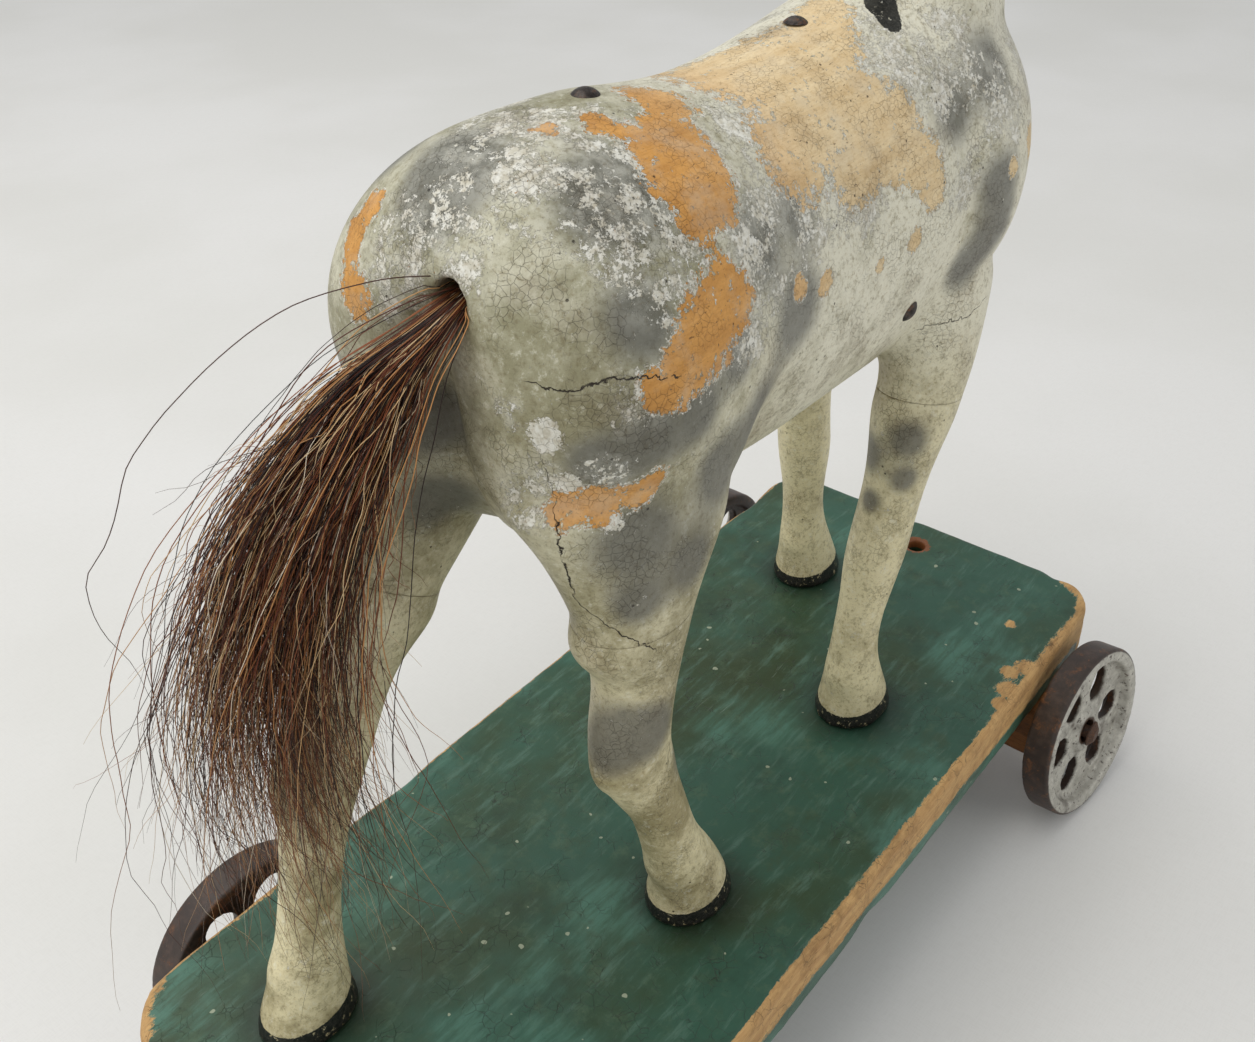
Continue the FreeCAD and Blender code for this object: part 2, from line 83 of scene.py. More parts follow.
def look_matrix(place, azimuth, tilt, roll):
    """A camera's place and turn, from its azimuth round the toy, its tilt down and its roll."""
    back = Vector((math.sin(azimuth) * math.cos(tilt), -math.cos(azimuth) * math.cos(tilt), math.sin(tilt)))
    right = Vector((0, 0, 1)).cross(back).normalized()
    up = back.cross(right)
    turned_right = right * math.cos(roll) + up * math.sin(roll)
    turned_up = up * math.cos(roll) - right * math.sin(roll)
    turn = Matrix((turned_right, turned_up, back)).transposed()
    return Matrix.Translation(place) @ turn.to_4x4()


camera = bpy.data.objects.new("camera", bpy.data.cameras.new("camera"))
bpy.context.scene.collection.objects.link(camera)
camera.matrix_world = look_matrix(CAMERA_PLACE, CAMERA_AZIMUTH, CAMERA_TILT, CAMERA_ROLL)
camera.data.sensor_width, camera.data.lens = SENSOR_MM, LENS_MM
camera.data.clip_start, camera.data.clip_end = 0.01, 20
bpy.context.scene.camera = camera
bpy.context.scene.view_settings.view_transform = "Standard"
print("camera to board centre:", round((CAMERA_PLACE - Vector((0, 0, 0.065))).length, 3), "m")

# %% [markdown]
# The toy stands on pale cloth in a bright room. A wide plain floor and large soft lamps give the same soft
# shadows: one big lamp overhead and a little behind, a weaker one at the camera's left, and a pale sky.

# %% Floor and light
FLOOR_SIZE = 6.0
LAMP_TARGET = Vector((0, 0, 0.15))
ROOM_COLOUR, ROOM_STRENGTH = (0.97, 0.985, 1.0, 1), 0.58
LAMPS = (  # name, place, width, power, and all of them look at the horse
    ("overhead", (-0.25, 0.55, 1.5), 1.3, 11.0),
    ("left_window", (-1.3, 0.35, 0.9), 0.9, 4.8),
    ("right_fill", (0.3, -1.5, 0.8), 1.0, 3.0),
)


def new_object(name, mesh):
    piece = bpy.data.objects.new(name, mesh)
    bpy.context.scene.collection.objects.link(piece)
    return piece


def mesh_from(name, points, faces):
    mesh = bpy.data.meshes.new(name)
    mesh.from_pydata([tuple(p) for p in points], [], faces)
    mesh.update()
    return new_object(name, mesh)


half = FLOOR_SIZE / 2
floor_corners = [(-half, -half, 0), (half, -half, 0), (half, half, 0), (-half, half, 0)]
floor = mesh_from("floor", floor_corners, [(0, 1, 2, 3)])
for name, place, width, power in LAMPS:
    lamp = bpy.data.lights.new(name, "AREA")
    lamp.size, lamp.energy, lamp.color = width, power, (1.0, 0.98, 0.95)
    lamp_object = new_object(name, lamp)
    lamp_object.location = place
    lamp_object.rotation_euler = (LAMP_TARGET - Vector(place)).to_track_quat("-Z", "Y").to_euler()
world = bpy.data.worlds.new("room")
world.use_nodes = True
world.node_tree.nodes["Background"].inputs["Color"].default_value = ROOM_COLOUR
world.node_tree.nodes["Background"].inputs["Strength"].default_value = ROOM_STRENGTH
bpy.context.scene.world = world
print("lamps:", [lamp[0] for lamp in LAMPS])

# %% [markdown]
# The horse is carved from one block for the trunk, with four legs and a head glued on. The CAD solids have the
# right places and sizes but no muscles. So their meshes are joined, remeshed into one even skin, and softened
# where two forms meet, as a carver's rasp does. Then the muscles are raised and the hollows are cut by strokes:
# each one pushes the skin in or out along its own normal, around one place.

# %% Joining and softening the carved blocks
def point_array(mesh):
    points = np.empty(len(mesh.vertices) * 3, np.float32)
    mesh.vertices.foreach_get("co", points)
    return points.reshape(-1, 3).astype(float)


def normal_array(mesh):
    normals = np.empty(len(mesh.vertices) * 3, np.float32)
    mesh.vertex_normals.foreach_get("vector", normals)
    return normals.reshape(-1, 3).astype(float)


def write_points(mesh, points):
    mesh.vertices.foreach_set("co", points.astype(np.float32).ravel())
    mesh.update()


def apply_modifiers(piece):
    """Turn a piece's modifiers into plain mesh."""
    bpy.context.view_layer.update()
    graph = bpy.context.evaluated_depsgraph_get()
    mesh = bpy.data.meshes.new_from_object(piece.evaluated_get(graph))
    piece.modifiers.clear()
    old = piece.data
    piece.data = mesh
    bpy.data.meshes.remove(old)
    return piece


def skin_of_nodes(name, node_names, voxel, rounds=2):
    """One even skin round copies of some CAD nodes, softened a few rounds."""
    forms = bmesh.new()
    for node in node_names:
        forms.from_mesh(NODES[node].data)
    bmesh.ops.remove_doubles(forms, verts=forms.verts, dist=1e-6)
    mesh = bpy.data.meshes.new(name)
    forms.to_mesh(mesh)
    forms.free()
    piece = new_object(name, mesh)
    remesh = piece.modifiers.new("skin", "REMESH")
    remesh.mode, remesh.voxel_size = "VOXEL", voxel
    if rounds:
        soft = piece.modifiers.new("soft", "SMOOTH")
        soft.factor, soft.iterations = 0.5, rounds
    return apply_modifiers(piece)


def relax(mesh, rounds, weight=None, factor=0.5):
    """Move each point towards the middle of its neighbours, more where its weight is higher."""
    points = point_array(mesh)
    edges = np.empty(len(mesh.edges) * 2, np.int32)
    mesh.edges.foreach_get("vertices", edges)
    first, second = edges.reshape(-1, 2).T
    count = np.bincount(first, minlength=len(points)) + np.bincount(second, minlength=len(points))
    strength = factor * (np.ones(len(points)) if weight is None else weight)
    for _ in range(rounds):
        for axis in range(3):
            values = points[:, axis]
            total = np.bincount(first, values[second], len(points))
            total += np.bincount(second, values[first], len(points))
            points[:, axis] = values + strength * (total / count - values)
    write_points(mesh, points)


def near(points, place, radii):
    """1 at a place, falling smoothly to 0 with distance. The radii are in millimetres, one or three."""
    away = (points - np.array(place) * MM) / (np.array(radii) * MM)
    return np.exp(-1.4 * (away ** 2).sum(axis=1))


HORSE_NODES = (
    "horse_body", "head_and_neck", "front_left_leg", "front_right_leg", "rear_left_leg", "rear_right_leg")
SKIN_VOXEL = 1.15 * MM
horse = skin_of_nodes("carved_horse", HORSE_NODES, SKIN_VOXEL)
print("horse skin:", len(horse.data.polygons), "faces")

# %% [markdown]
# Each stroke has a place, a reach and a height. A raised one is a muscle, a bone or a joint, and a sunk one is a
# groove or a fold. Most come in pairs, so they are said once and repeated on the other side.

# %% Muscles raised and hollows cut, as a carver would
SOFTEN = (  # places where two forms meet, and how far round them the rasp goes
    ((92, 0, 282), 44), ((84, 24, 196), 26), ((80, -24, 196), 26), ((-61, -26, 200), 27), ((-78, 26, 200), 27),
    ((118, 0, 352), 26), ((95, 26, 177), 16), ((79, -26, 177), 16), ((-62, -29, 186), 20), ((-88, 27, 184), 20),
    ((0, 0, 236), (150, 70, 70)),
)
STROKES = (  # what it shapes, place, reach, height in millimetres; "both" repeats it on the other side
    ("stifle", (-40, -33, 208), (20, 16, 22), 4.2, "right"),
    ("stifle", (-50, 33, 212), (22, 16, 20), 3.6, "left"),
    ("flank", (-17, 37, 214), (17, 16, 22), -4.0, "both"),
    ("flank_fold", (-28, 36, 190), (9, 14, 12), -1.6, "both"),
    ("haunch", (-62, 38, 244), (26, 14, 26), 1.8, "both"),
    ("hip_bone", (-36, 31, 276), (14, 12, 10), 1.4, "both"),
    ("loin_dip", (2, 0, 288), (26, 30, 12), -1.8, "middle"),
    ("croup_line", (-58, 0, 291), (30, 5, 10), -0.9, "middle"),
    ("tail_cleft", (-92, 0, 236), (16, 5.5, 28), -6.0, "middle"),
    ("tail_socket_rim", (-94, -7, 266), (7, 7, 7), 0.5, "middle"),
    ("tail_cleft_low", (-86, 0, 205), (18, 7, 18), -5.0, "middle"),
    ("buttock", (-88, 17, 232), (12, 12, 24), 2.4, "both"),
    ("girth", (62, 36, 210), (12, 14, 26), -1.6, "both"),
    ("shoulder", (90, 34, 232), (16, 14, 28), 2.6, "both"),
    ("shoulder_line", (68, 36, 250), (8, 12, 30), -1.8, "both"),
    ("neck_groove", (103, 22, 276), (10, 12, 22), -1.8, "both"),
    ("breast", (122, 13, 236), (12, 11, 15), 3.2, "both"),
    ("breast_front", (124, -4, 240), (16, 22, 20), 6.0, "middle"),
    ("neck_front", (120, 0, 275), (14, 20, 22), 5.0, "middle"),
    ("breast_groove", (127, 0, 236), (12, 4.5, 24), -3.0, "middle"),
    ("brisket", (106, 0, 196), (16, 9, 10), 1.5, "middle"),
    ("belly_line", (30, 0, 187), (50, 10, 8), 1.0, "middle"),
    ("gaskin_back", (-73, -29, 166), (8, 12, 12), -1.2, "right"),
    ("gaskin_back", (-106, 29, 172), (8, 12, 12), -1.2, "left"),
    ("hock_point", (-75, -29, 140), (6, 6, 8), 1.9, "right"),
    ("hock_point", (-126, 29, 142), (6, 6, 8), 1.9, "left"),
    ("hock_front", (-52, -29, 136), (6, 8, 8), 0.9, "right"),
    ("knee", (70, -26, 126), (6, 8, 8), 1.5, "right"),
    ("knee", (112, 26, 126), (6, 8, 8), 1.5, "left"),
    ("knee_back", (52, -26, 116), (6, 8, 8), -0.8, "right"),
    ("fetlock_back", (47, -26, 84), (5, 7, 6), 1.3, "right"),
    ("fetlock_back", (100, 26, 84), (5, 7, 6), 1.3, "left"),
    ("fetlock_back", (-52, -29, 86), (5, 7, 6), 1.3, "right"),
    ("fetlock_back", (-139, 29, 86), (5, 7, 6), 1.3, "left"),
    ("jowl", (116, 14, 346), (10, 7, 12), 2.2, "both"),
    ("eye_socket", (122, 13.5, 357), (6.5, 5, 5.5), -1.6, "both"),
    ("brow", (124, 11, 364), (7, 5, 4), 1.6, "both"),
    ("cheek_hollow", (132, 12, 340), (9, 6, 8), -1.4, "both"),
    ("nose_ridge", (142, 0, 344), (14, 4, 14), 0.9, "middle"),
    ("nostril_rim", (152, 8, 322), (5, 4, 5), 1.5, "both"),
    ("nostril", (154.5, 7.5, 320), (2.4, 2.6, 3.4), -3.2, "both"),
    ("mouth", (149, 0, 309.5), (9, 16, 1.4), -1.6, "middle"),
    ("chin", (141, 0, 307), (5, 8, 5), 1.4, "middle"),
)


RASP_ROUNDS, SANDING_ROUNDS = 45, 4


def carve(mesh, strokes):
    """Push the skin out or in along its normals, one stroke after another."""
    for _name, place, reach, height, sides in strokes:
        for side in ((1, -1) if sides == "both" else (1,)):
            points = point_array(mesh)
            middle = (place[0], place[1] * side, place[2])
            amount = height * MM * near(points, middle, reach)
            write_points(mesh, points + normal_array(mesh) * amount[:, None])


horse_points = point_array(horse.data)
softness = np.zeros(len(horse_points))
for place, reach in SOFTEN:
    softness = np.maximum(softness, near(horse_points, place, reach))
relax(horse.data, RASP_ROUNDS, softness)
carve(horse.data, STROKES)
relax(horse.data, SANDING_ROUNDS)
print("carved", len(STROKES), "strokes")

# %% [markdown]
# Nails were driven into the finished carving, so the skin has to meet their heads. Softening has drawn it away
# from them here and there, so it is brought back at each nail.

# %% Seating the nails
NAIL_SEATS = (  # the place under each head and the way it faces
    ((-39.2, 0, 289.4), (0, 0, 1)), ((39.4, 0, 286.4), (0.05, 0, 1)),
    ((47, -34.9, 217), (0, -0.93, -0.36)), ((47, 34.9, 217), (0, 0.93, -0.36)),
)
SEAT_REACH, HEAD_RADIUS, SEAT_SEARCH, SEAT_PROUD = 15, 2.5, 12, 0.1
for place, way in NAIL_SEATS:
    points, way = point_array(horse.data), np.array(way) / np.linalg.norm(way)
    above = (points / MM - place) @ way
    flat = (points / MM - place) - above[:, None] * way
    under = (np.linalg.norm(flat, axis=1) < HEAD_RADIUS) & (np.abs(above) < SEAT_SEARCH)
    gap = -float(above[under].mean())
    write_points(horse.data, points + way * (gap + SEAT_PROUD) * MM * near(points, place, SEAT_REACH)[:, None])
    print("skin moved", round(gap, 2), "mm to the nail at", place)

# %% [markdown]
# The legs and the head are glued to the trunk at butt joints, which have opened to fine cracks. The skin is cut
# by a plane at each joint, so each carved piece becomes a closed mesh of its own and the crack is real.

# %% Cutting the skin into the real pieces
JOINTS = (  # piece, CAD node it stands for, a place on the joint, its normal towards the piece, reach in mm
    ("front_left_leg_carved", "front_left_leg", (95, 26, 176), (0.14, 0, -0.99), 34),
    ("front_right_leg_carved", "front_right_leg", (79, -26, 176), (-0.24, 0, -0.97), 34),
    ("rear_left_leg_carved", "rear_left_leg", (-88, 27, 184), (-0.56, 0, -0.83), 30),
    ("rear_right_leg_carved", "rear_right_leg", (-62, -29, 186), (0, 0, -1), 30),
    ("head_and_neck_carved", "head_and_neck", (98, 0, 296), (0.31, 0, 0.95), 60),
)
CRACK_GAP = 0.12 * MM


def split_piece(mesh, name, place, normal, reach):
    """Cut off the part of a mesh that lies beyond a plane near a place, and close both cuts."""
    place, normal = Vector(place) * MM, Vector(normal).normalized()
    work = bmesh.new()
    work.from_mesh(mesh)
    side = 1 if place.y >= 0 else -1
    whole_width = abs(place.y) < 1 * MM

    def belongs(point):
        return whole_width or point.y * side > 0

    ring = [face for face in work.faces
            if belongs(face.calc_center_median()) and (face.calc_center_median() - place).length < reach * MM]
    around = list({vert for face in ring for vert in face.verts})
    around += list({edge for face in ring for edge in face.edges}) + ring
    bmesh.ops.bisect_plane(work, geom=around, dist=1e-6, plane_co=place, plane_no=normal)
    work.faces.ensure_lookup_table()
    seed = min((face for face in work.faces if (face.calc_center_median() - place).dot(normal) > 2 * MM
                and belongs(face.calc_center_median())),
               key=lambda face: (face.calc_center_median() - place).length)
    taken, stack = {seed}, [seed]
    while stack:
        for edge in stack.pop().edges:
            for face in edge.link_faces:
                away = face.calc_center_median() - place
                if face not in taken and (away.dot(normal) > -1e-7 or away.length > reach * MM):
                    taken.add(face)
                    stack.append(face)
    piece_mesh, rest_mesh = bpy.data.meshes.new(name), bpy.data.meshes.new("rest")
    for target, keep in ((piece_mesh, taken), (rest_mesh, set(work.faces) - taken)):
        part = work.copy()
        part.faces.ensure_lookup_table()
        kept_numbers = {face.index for face in keep}
        others = [face for face in part.faces if face.index not in kept_numbers]
        bmesh.ops.delete(part, geom=others, context="FACES")
        open_edges = [edge for edge in part.edges if edge.is_boundary]
        shift = normal * (CRACK_GAP / 2 if target is piece_mesh else -CRACK_GAP / 2)
        for vert in {vert for edge in open_edges for vert in edge.verts}:
            vert.co += shift
        bmesh.ops.holes_fill(part, edges=open_edges, sides=0)
        part.to_mesh(target)
        part.free()
    work.free()
    return piece_mesh, rest_mesh


carved = {}
trunk_mesh = horse.data
for name, node, place, normal, reach in JOINTS:
    work_mesh, trunk_mesh = split_piece(trunk_mesh, name, place, normal, reach)
    carved[node] = new_object(name, work_mesh)
    print(name, len(work_mesh.polygons), "faces; rest", len(trunk_mesh.polygons))
carved["horse_body"] = new_object("horse_body_carved", trunk_mesh)
bpy.data.objects.remove(horse)
for node, piece in carved.items():
    piece.data.polygons.foreach_set("use_smooth", [True] * len(piece.data.polygons))
    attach(piece, "platform")
    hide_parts(node)

# %% [markdown]
# The paint tells the horse's story, so it is painted before it is mixed. Maps are kept on the skin's points:
# where the wood is bare, where the paint is rubbed down to its white ground or has flaked off, where the painter
# put the grey dapples, where black was used, and how far each point is from a crack. Overlapping round patches
# make the big shapes. The ragged edges come later, from noise in the material. One flank is painted patch by
# patch. The other flank takes the same patches mirrored, moved a little and thinned out, because no two sides
# wear alike.

# %% Painting the wear maps
BARE = (  # x, y, z and radius of each patch of bare wood, in millimetres
    (4, -3, 283, 14), (19, -6, 283, 13), (38, -8, 285, 10), (20, -22, 275, 17), (31, -27, 270, 13),
    (39, -31, 264, 10), (46, -35, 257, 7), (49, -37, 250, 5), (-2, -26, 272, 11), (18, -30, 265, 9),
    (-40, -20, 284, 8), (-43, -26, 279, 8), (-34, -27, 278, 8), (-37, -31, 275, 7), (-45, -32, 273, 5),
    (-33, -20, 283, 7), (-49, -42, 257, 9), (-58, -43, 254, 9), (-66, -43, 251, 6), (-41, -41, 257, 6),
    (-44, -40, 263, 5), (-71, -42, 251, 4),
    (-48, -11, 288, 4), (-58, -6, 289, 3), (-91, 20, 260, 6), (-85, 23, 269, 5), (-82, 20, 275, 4),
    (-80, -35, 226, 5), (-73, -40, 227, 4), (-86, -30, 225, 4), (-70, -41, 230, 3), (103, -37, 247, 5),
    (88, -40, 245, 3), (-14, -38, 248, 3), (-2, -37, 244, 3), (24, -37, 239, 2), (40, -37, 240, 3),
    (49, -2, 287, 7), (-26, -8, 286, 8), (127, -13, 243, 7), (124, -20, 238, 6), (129, -4, 250, 5),
)
WORN = (  # patches rubbed through to the white ground
    (-56, -15, 286, 13), (-46, -19, 284, 12), (-59, -30, 277, 12), (-67, -17, 284, 12), (-61, -2, 288, 11),
    (-70, 0, 287, 10), (-64, -34, 272, 10), (-30, -35, 266, 12), (-26, -38, 258, 10), (-6, -32, 264, 12),
    (18, -33, 259, 11), (52, -22, 278, 12), (48, -16, 283, 10), (56, -29, 271, 10), (-28, -21, 281, 8),
    (-88, 5, 274, 10), (-91, 8, 266, 8), (-88, -6, 274, 8), (-92, -22, 246, 4), (-89, -27, 234, 4),
    (84, -35, 263, 12), (111, -28, 265, 10), (63, -37, 248, 8), (-89, -23, 227, 6), (-81, -37, 233, 5),
    (-75, -41, 249, 6), (-53, -37, 267, 10), (5, -19, 278, 12), (73, -25, 279, 9), (-14, -20, 281, 9),
    (66, -8, 296, 9), (124, -12, 244, 12), (-94, -7, 268, 7), (-48, -40, 262, 14), (-40, -38, 248, 8),
)
GREY = (  # the painter's soft dapples
    (-70, -38, 263, 9), (-56, -25, 281, 12), (-65, -25, 280, 10), (-74, 2, 286, 12), (-82, 2, 281, 9),
    (-27, -36, 263, 10), (-9, -33, 262, 8), (-15, -39, 243, 11), (-73, -40, 215, 12), (-82, -37, 237, 8),
    (-73, -42, 240, 9), (-60, -44, 241, 9), (-44, -43, 247, 8), (-48, -41, 220, 10), (-59, -43, 203, 9),
    (-73, -39, 199, 7), (-73, -34, 155, 10), (-66, -38, 156, 8), (-77, -30, 151, 7), (83, -32, 270, 11),
    (64, -32, 265, 9), (81, -40, 242, 10), (81, -40, 228, 10), (74, -37, 221, 8), (63, -32, 168, 7),
    (63, -32, 155, 5), (63, -20, 160, 7), (59, -24, 146, 4), (-86, 2, 234, 10), (-83, 8, 210, 10),
    (-91, 9, 232, 8), (108, -20, 300, 11), (112, -8, 322, 9),
    (122, -12, 270, 12), (126, -8, 255, 9), (98, -22, 318, 9), (-30, -40, 222, 12), (-32, -38, 206, 9),
    (-52, -30, 134, 8), (98, 30, 150, 8), (-118, 30, 156, 10),
)
BLACK = (  # the painted mane, from its lowest lock to the forelock, then the eyes' rims and the nostrils
    (61, -10, 288, 3.5), (60, -13, 287, 4), (58, -16, 285, 3), (64, -11, 291, 4), (68, -12, 296, 4),
    (71, -4, 306, 8), (76, -10, 310, 7), (78, -2, 319, 8), (84, -11, 322, 7), (86, -1, 333, 8), (91, -11, 334, 6),
    (93, 0, 345, 8), (98, -9, 347, 6), (101, 0, 358, 8), (106, -6, 362, 6), (108, 0, 369, 8), (115, 0, 374, 6),
    (122, -1, 371, 5), (128, 0, 365, 4), (121, -14, 357, 5.5), (121, 14, 357, 5.5), (155, -8, 320, 2.6),
    (155, 8, 320, 2.6),
)
FLAKED = (  # chips down to the white ground, on the haunch and round the tail's hole
    (-81, -31, 244, 3.5), (-86, -28, 243, 4), (-75, -37, 229, 3), (-84, -31, 231, 3.5), (-78, -36, 222, 3),
    (-73, -10, 272, 2.4), (-77, -14, 268, 2.6), (-80, -15, 263, 2.2), (-72, -3, 273, 2.2), (-78, -12, 259, 1.8),
)
CRACKS = (  # lines along the surface
    ((-89, -27, 254), (-86, -32, 253), (-83, -36, 254), (-79, -38, 255), (-74, -41, 254), (-66, -43, 251)),
    ((-89, -28, 236), (-87, -30, 224), (-86, -30, 213), (-81, -29, 200), (-75, -36, 190), (-69, -40, 184)),
    ((88, -36, 206), (80, -37, 204), (72, -34, 204), (66, -26, 203)),
    ((-60, -38, 152), (-58, -39, 146), (-60, -38, 139)),
    ((96, 38, 208), (104, 36, 206), (112, 30, 204)),
)
MIRROR_SEED, MIRROR_KEPT, MIRROR_MOVE = 5, 0.75, 5.0
HOOF_PLACES = ((57.7, -26), (111.6, 26), (-39, -29), (-132.6, 27))
HOOF_TOP, HOOF_SLANT = 71.8, 0.13


def far_side(places, seed):
    """The same patches on the other flank, moved a little and thinned out."""
    dice = np.random.default_rng(seed)
    moved = []
    for x, y, z, radius in places:
        shift, size, luck = dice.normal(0, MIRROR_MOVE, 2), dice.uniform(0.7, 1.15), dice.random()
        if y < -9 and luck < MIRROR_KEPT:
            moved.append((x + shift[0], -y, z + 0.5 * shift[1], radius * size))
    return moved


def patches(points, places):
    """1 inside each round patch, 0.5 on its rim and 0 outside; patches that meet run together."""
    clear = np.ones(len(points))
    for x, y, z, radius in places:
        away = np.linalg.norm(points / MM - (x, y, z), axis=1) / radius
        clear *= 1 - np.clip(1.5 - away, 0, 1)
    return 1 - clear


def crack_map(points, normals, lines):
    """The distance to the nearest crack in millimetres, with a sign for its side, and 0 beyond its ends."""
    signed, closest = np.full(len(points), 50.0), np.full(len(points), 50.0)
    inside = np.zeros(len(points))
    for line in lines:
        for number, (start, end) in enumerate(zip(line, line[1:])):
            start, along = np.array(start, float), np.array(end, float) - np.array(start, float)
            share = (points / MM - start) @ along / (along @ along)
            gap = points / MM - (start + np.clip(share, 0, 1)[:, None] * along)
            away = np.linalg.norm(gap, axis=1)
            side = np.sign((gap * np.cross(along, normals)).sum(axis=1))
            past = np.maximum(-share if number == 0 else 0, share - 1 if number == len(line) - 2 else 0)
            closer = away < closest
            closest[closer], signed[closer] = away[closer], (away * side)[closer]
            fade = np.clip(1 - past * np.linalg.norm(along) / 1.5, 0, 1) * np.clip(4 - away, 0, 1)
            inside[closer] = fade[closer]
    return signed, inside


def paint(mesh, name, values):
    layer = mesh.attributes.get(name) or mesh.attributes.new(name, "FLOAT", "POINT")
    layer.data.foreach_set("value", np.ascontiguousarray(values, np.float32))


def hoof_black(points):
    """1 on the black band round each foot, which is taller at the toe."""
    x, y, z = (points / MM).T
    spans = np.array([np.hypot(x - fx, y - fy) for fx, fy in HOOF_PLACES])
    ahead = x - np.array(HOOF_PLACES)[np.argmin(spans, axis=0), 0]
    return np.clip((HOOF_TOP + HOOF_SLANT * ahead - z) / 1.6 + 0.5, 0, 1)


for node, piece in carved.items():
    points, normals = point_array(piece.data), normal_array(piece.data)
    signed, inside = crack_map(points, normals, CRACKS)
    maps = {
        "bare": patches(points, BARE + tuple(far_side(BARE, MIRROR_SEED))),
        "worn": patches(points, WORN + tuple(far_side(WORN, MIRROR_SEED + 1))),
        "grey": patches(points, GREY + tuple(far_side(GREY, MIRROR_SEED + 2))),
        "flaked": patches(points, FLAKED),
        "black": np.maximum(patches(points, BLACK), hoof_black(points)),
        "crack": signed, "crack_near": inside,
    }
    for name, values in maps.items():
        paint(piece.data, name, values)
    print(piece.name, {name: round(float(values.mean()), 3) for name, values in maps.items()})

# %% [markdown]
# Materials are trees of small nodes. Several effects come back on many pieces: ragged wear, fine speckle, crazed
# paint, wood grain, grime and rust. Each is made once as a node group with named sockets, and every material
# places it with its own values. All sizes in them are millimetres, so a grain is a true size on every piece.

# %% Short ways to place nodes
class Wiring:
    """Short ways to place and join the nodes of one tree."""

    def __init__(self, tree):
        self.tree = tree

    def node(self, kind, **settings):
        node = self.tree.nodes.new(kind)
        for name, value in settings.items():
            setattr(node, name, value)
        return node

    def put(self, socket, value):
        if isinstance(value, bpy.types.NodeSocket):
            self.tree.links.new(value, socket)
        elif socket.type == "RGBA":
            socket.default_value = (*value[:3], 1)
        else:
            socket.default_value = value

    def math(self, operation, first, second=0.0, third=0.0):
        node = self.node("ShaderNodeMath", operation=operation)
        for socket, value in zip(node.inputs, (first, second, third)):
            self.put(socket, value)
        return node.outputs[0]

    def times(self, first, second):
        return self.math("MULTIPLY", first, second)

    def plus(self, first, second):
        return self.math("ADD", first, second)

    def times_plus(self, first, second, third):
        return self.math("MULTIPLY_ADD", first, second, third)

    def most(self, first, second):
        return self.math("MAXIMUM", first, second)

    def left_of(self, share):
        """What is left of 1 when a share is taken away."""
        return self.math("SUBTRACT", 1.0, share)

    def centred(self, noise):
        """Noise moved to lie round 0."""
        return self.math("SUBTRACT", noise, 0.5)

    def step(self, value, low, high, start=0.0, end=1.0):
        """A smooth step from start to end while the value goes from low to high."""
        node = self.node("ShaderNodeMapRange", interpolation_type="SMOOTHSTEP")
        for socket, number in zip(node.inputs, (value, low, high, start, end)):
            self.put(socket, number)
        return node.outputs[0]

    def mix(self, share, first, second, blend="MIX"):
        node = self.node("ShaderNodeMix", data_type="RGBA", blend_type=blend)
        for number, value in ((0, share), (6, first), (7, second)):  # factor, and the two colours
            self.put(node.inputs[number], value)
        return node.outputs[2]

    def noise(self, where, size, detail=4.0, roughness=0.55, distortion=0.0):
        node = self.node("ShaderNodeTexNoise")
        self.put(node.inputs["Vector"], where)
        scale = self.math("DIVIDE", 1.0, size) if isinstance(size, bpy.types.NodeSocket) else 1.0 / size
        self.put(node.inputs["Scale"], scale)
        for name, value in (("Detail", detail), ("Roughness", roughness), ("Distortion", distortion)):
            self.put(node.inputs[name], value)
        return node.outputs[0]

    def cells(self, where, size, feature="F1"):
        node = self.node("ShaderNodeTexVoronoi", feature=feature)
        self.put(node.inputs["Vector"], where)
        scale = self.math("DIVIDE", 1.0, size) if isinstance(size, bpy.types.NodeSocket) else 1.0 / size
        self.put(node.inputs["Scale"], scale)
        return node

    def vector(self, operation, first, second=(0, 0, 0)):
        node = self.node("ShaderNodeVectorMath", operation=operation)
        self.put(node.inputs[0], first)
        if operation == "SCALE":
            self.put(node.inputs["Scale"], second)
        else:
            self.put(node.inputs[1], second)
        return node.outputs[0]

    def shaken(self, where, size, amount):
        """The place moved about by noise, in millimetres, to make straight things crooked."""
        node = self.node("ShaderNodeTexNoise")
        self.put(node.inputs["Vector"], where)
        self.put(node.inputs["Scale"], 1.0 / size)
        centred = self.vector("SUBTRACT", node.outputs["Color"], (0.5, 0.5, 0.5))
        return self.vector("ADD", where, self.vector("SCALE", centred, amount * 2))

    def bump(self, height, distance_mm, strength=1.0):
        node = self.node("ShaderNodeBump")
        self.put(node.inputs["Height"], height)
        self.put(node.inputs["Distance"], distance_mm * MM)
        self.put(node.inputs["Strength"], strength)
        return node.outputs[0]

    def group(self, tree, **values):
        """Place a node group. Underscores in a value's name stand for spaces in the socket's."""
        node = self.node("ShaderNodeGroup", node_tree=tree)
        for name, value in values.items():
            self.put(node.inputs[name.replace("_", " ")], value)
        return node

    def hollow(self):
        """Low in hollows and high on ridges, about 0.5 on the flat."""
        return self.node("ShaderNodeNewGeometry").outputs["Pointiness"]

    def map(self, name):
        return self.node("ShaderNodeAttribute", attribute_name=name).outputs["Fac"]

    def pick(self, node):
        """One number for each cell of a cell pattern, to choose some of them."""
        parts = self.node("ShaderNodeSeparateColor")
        self.put(parts.inputs[0], node.outputs["Color"])
        return parts.outputs[0]

    def place(self):
        """Where a point is on the piece itself, in millimetres, so that the look turns with the piece."""
        return self.vector("SCALE", self.node("ShaderNodeTexCoord").outputs["Object"], 1 / MM)


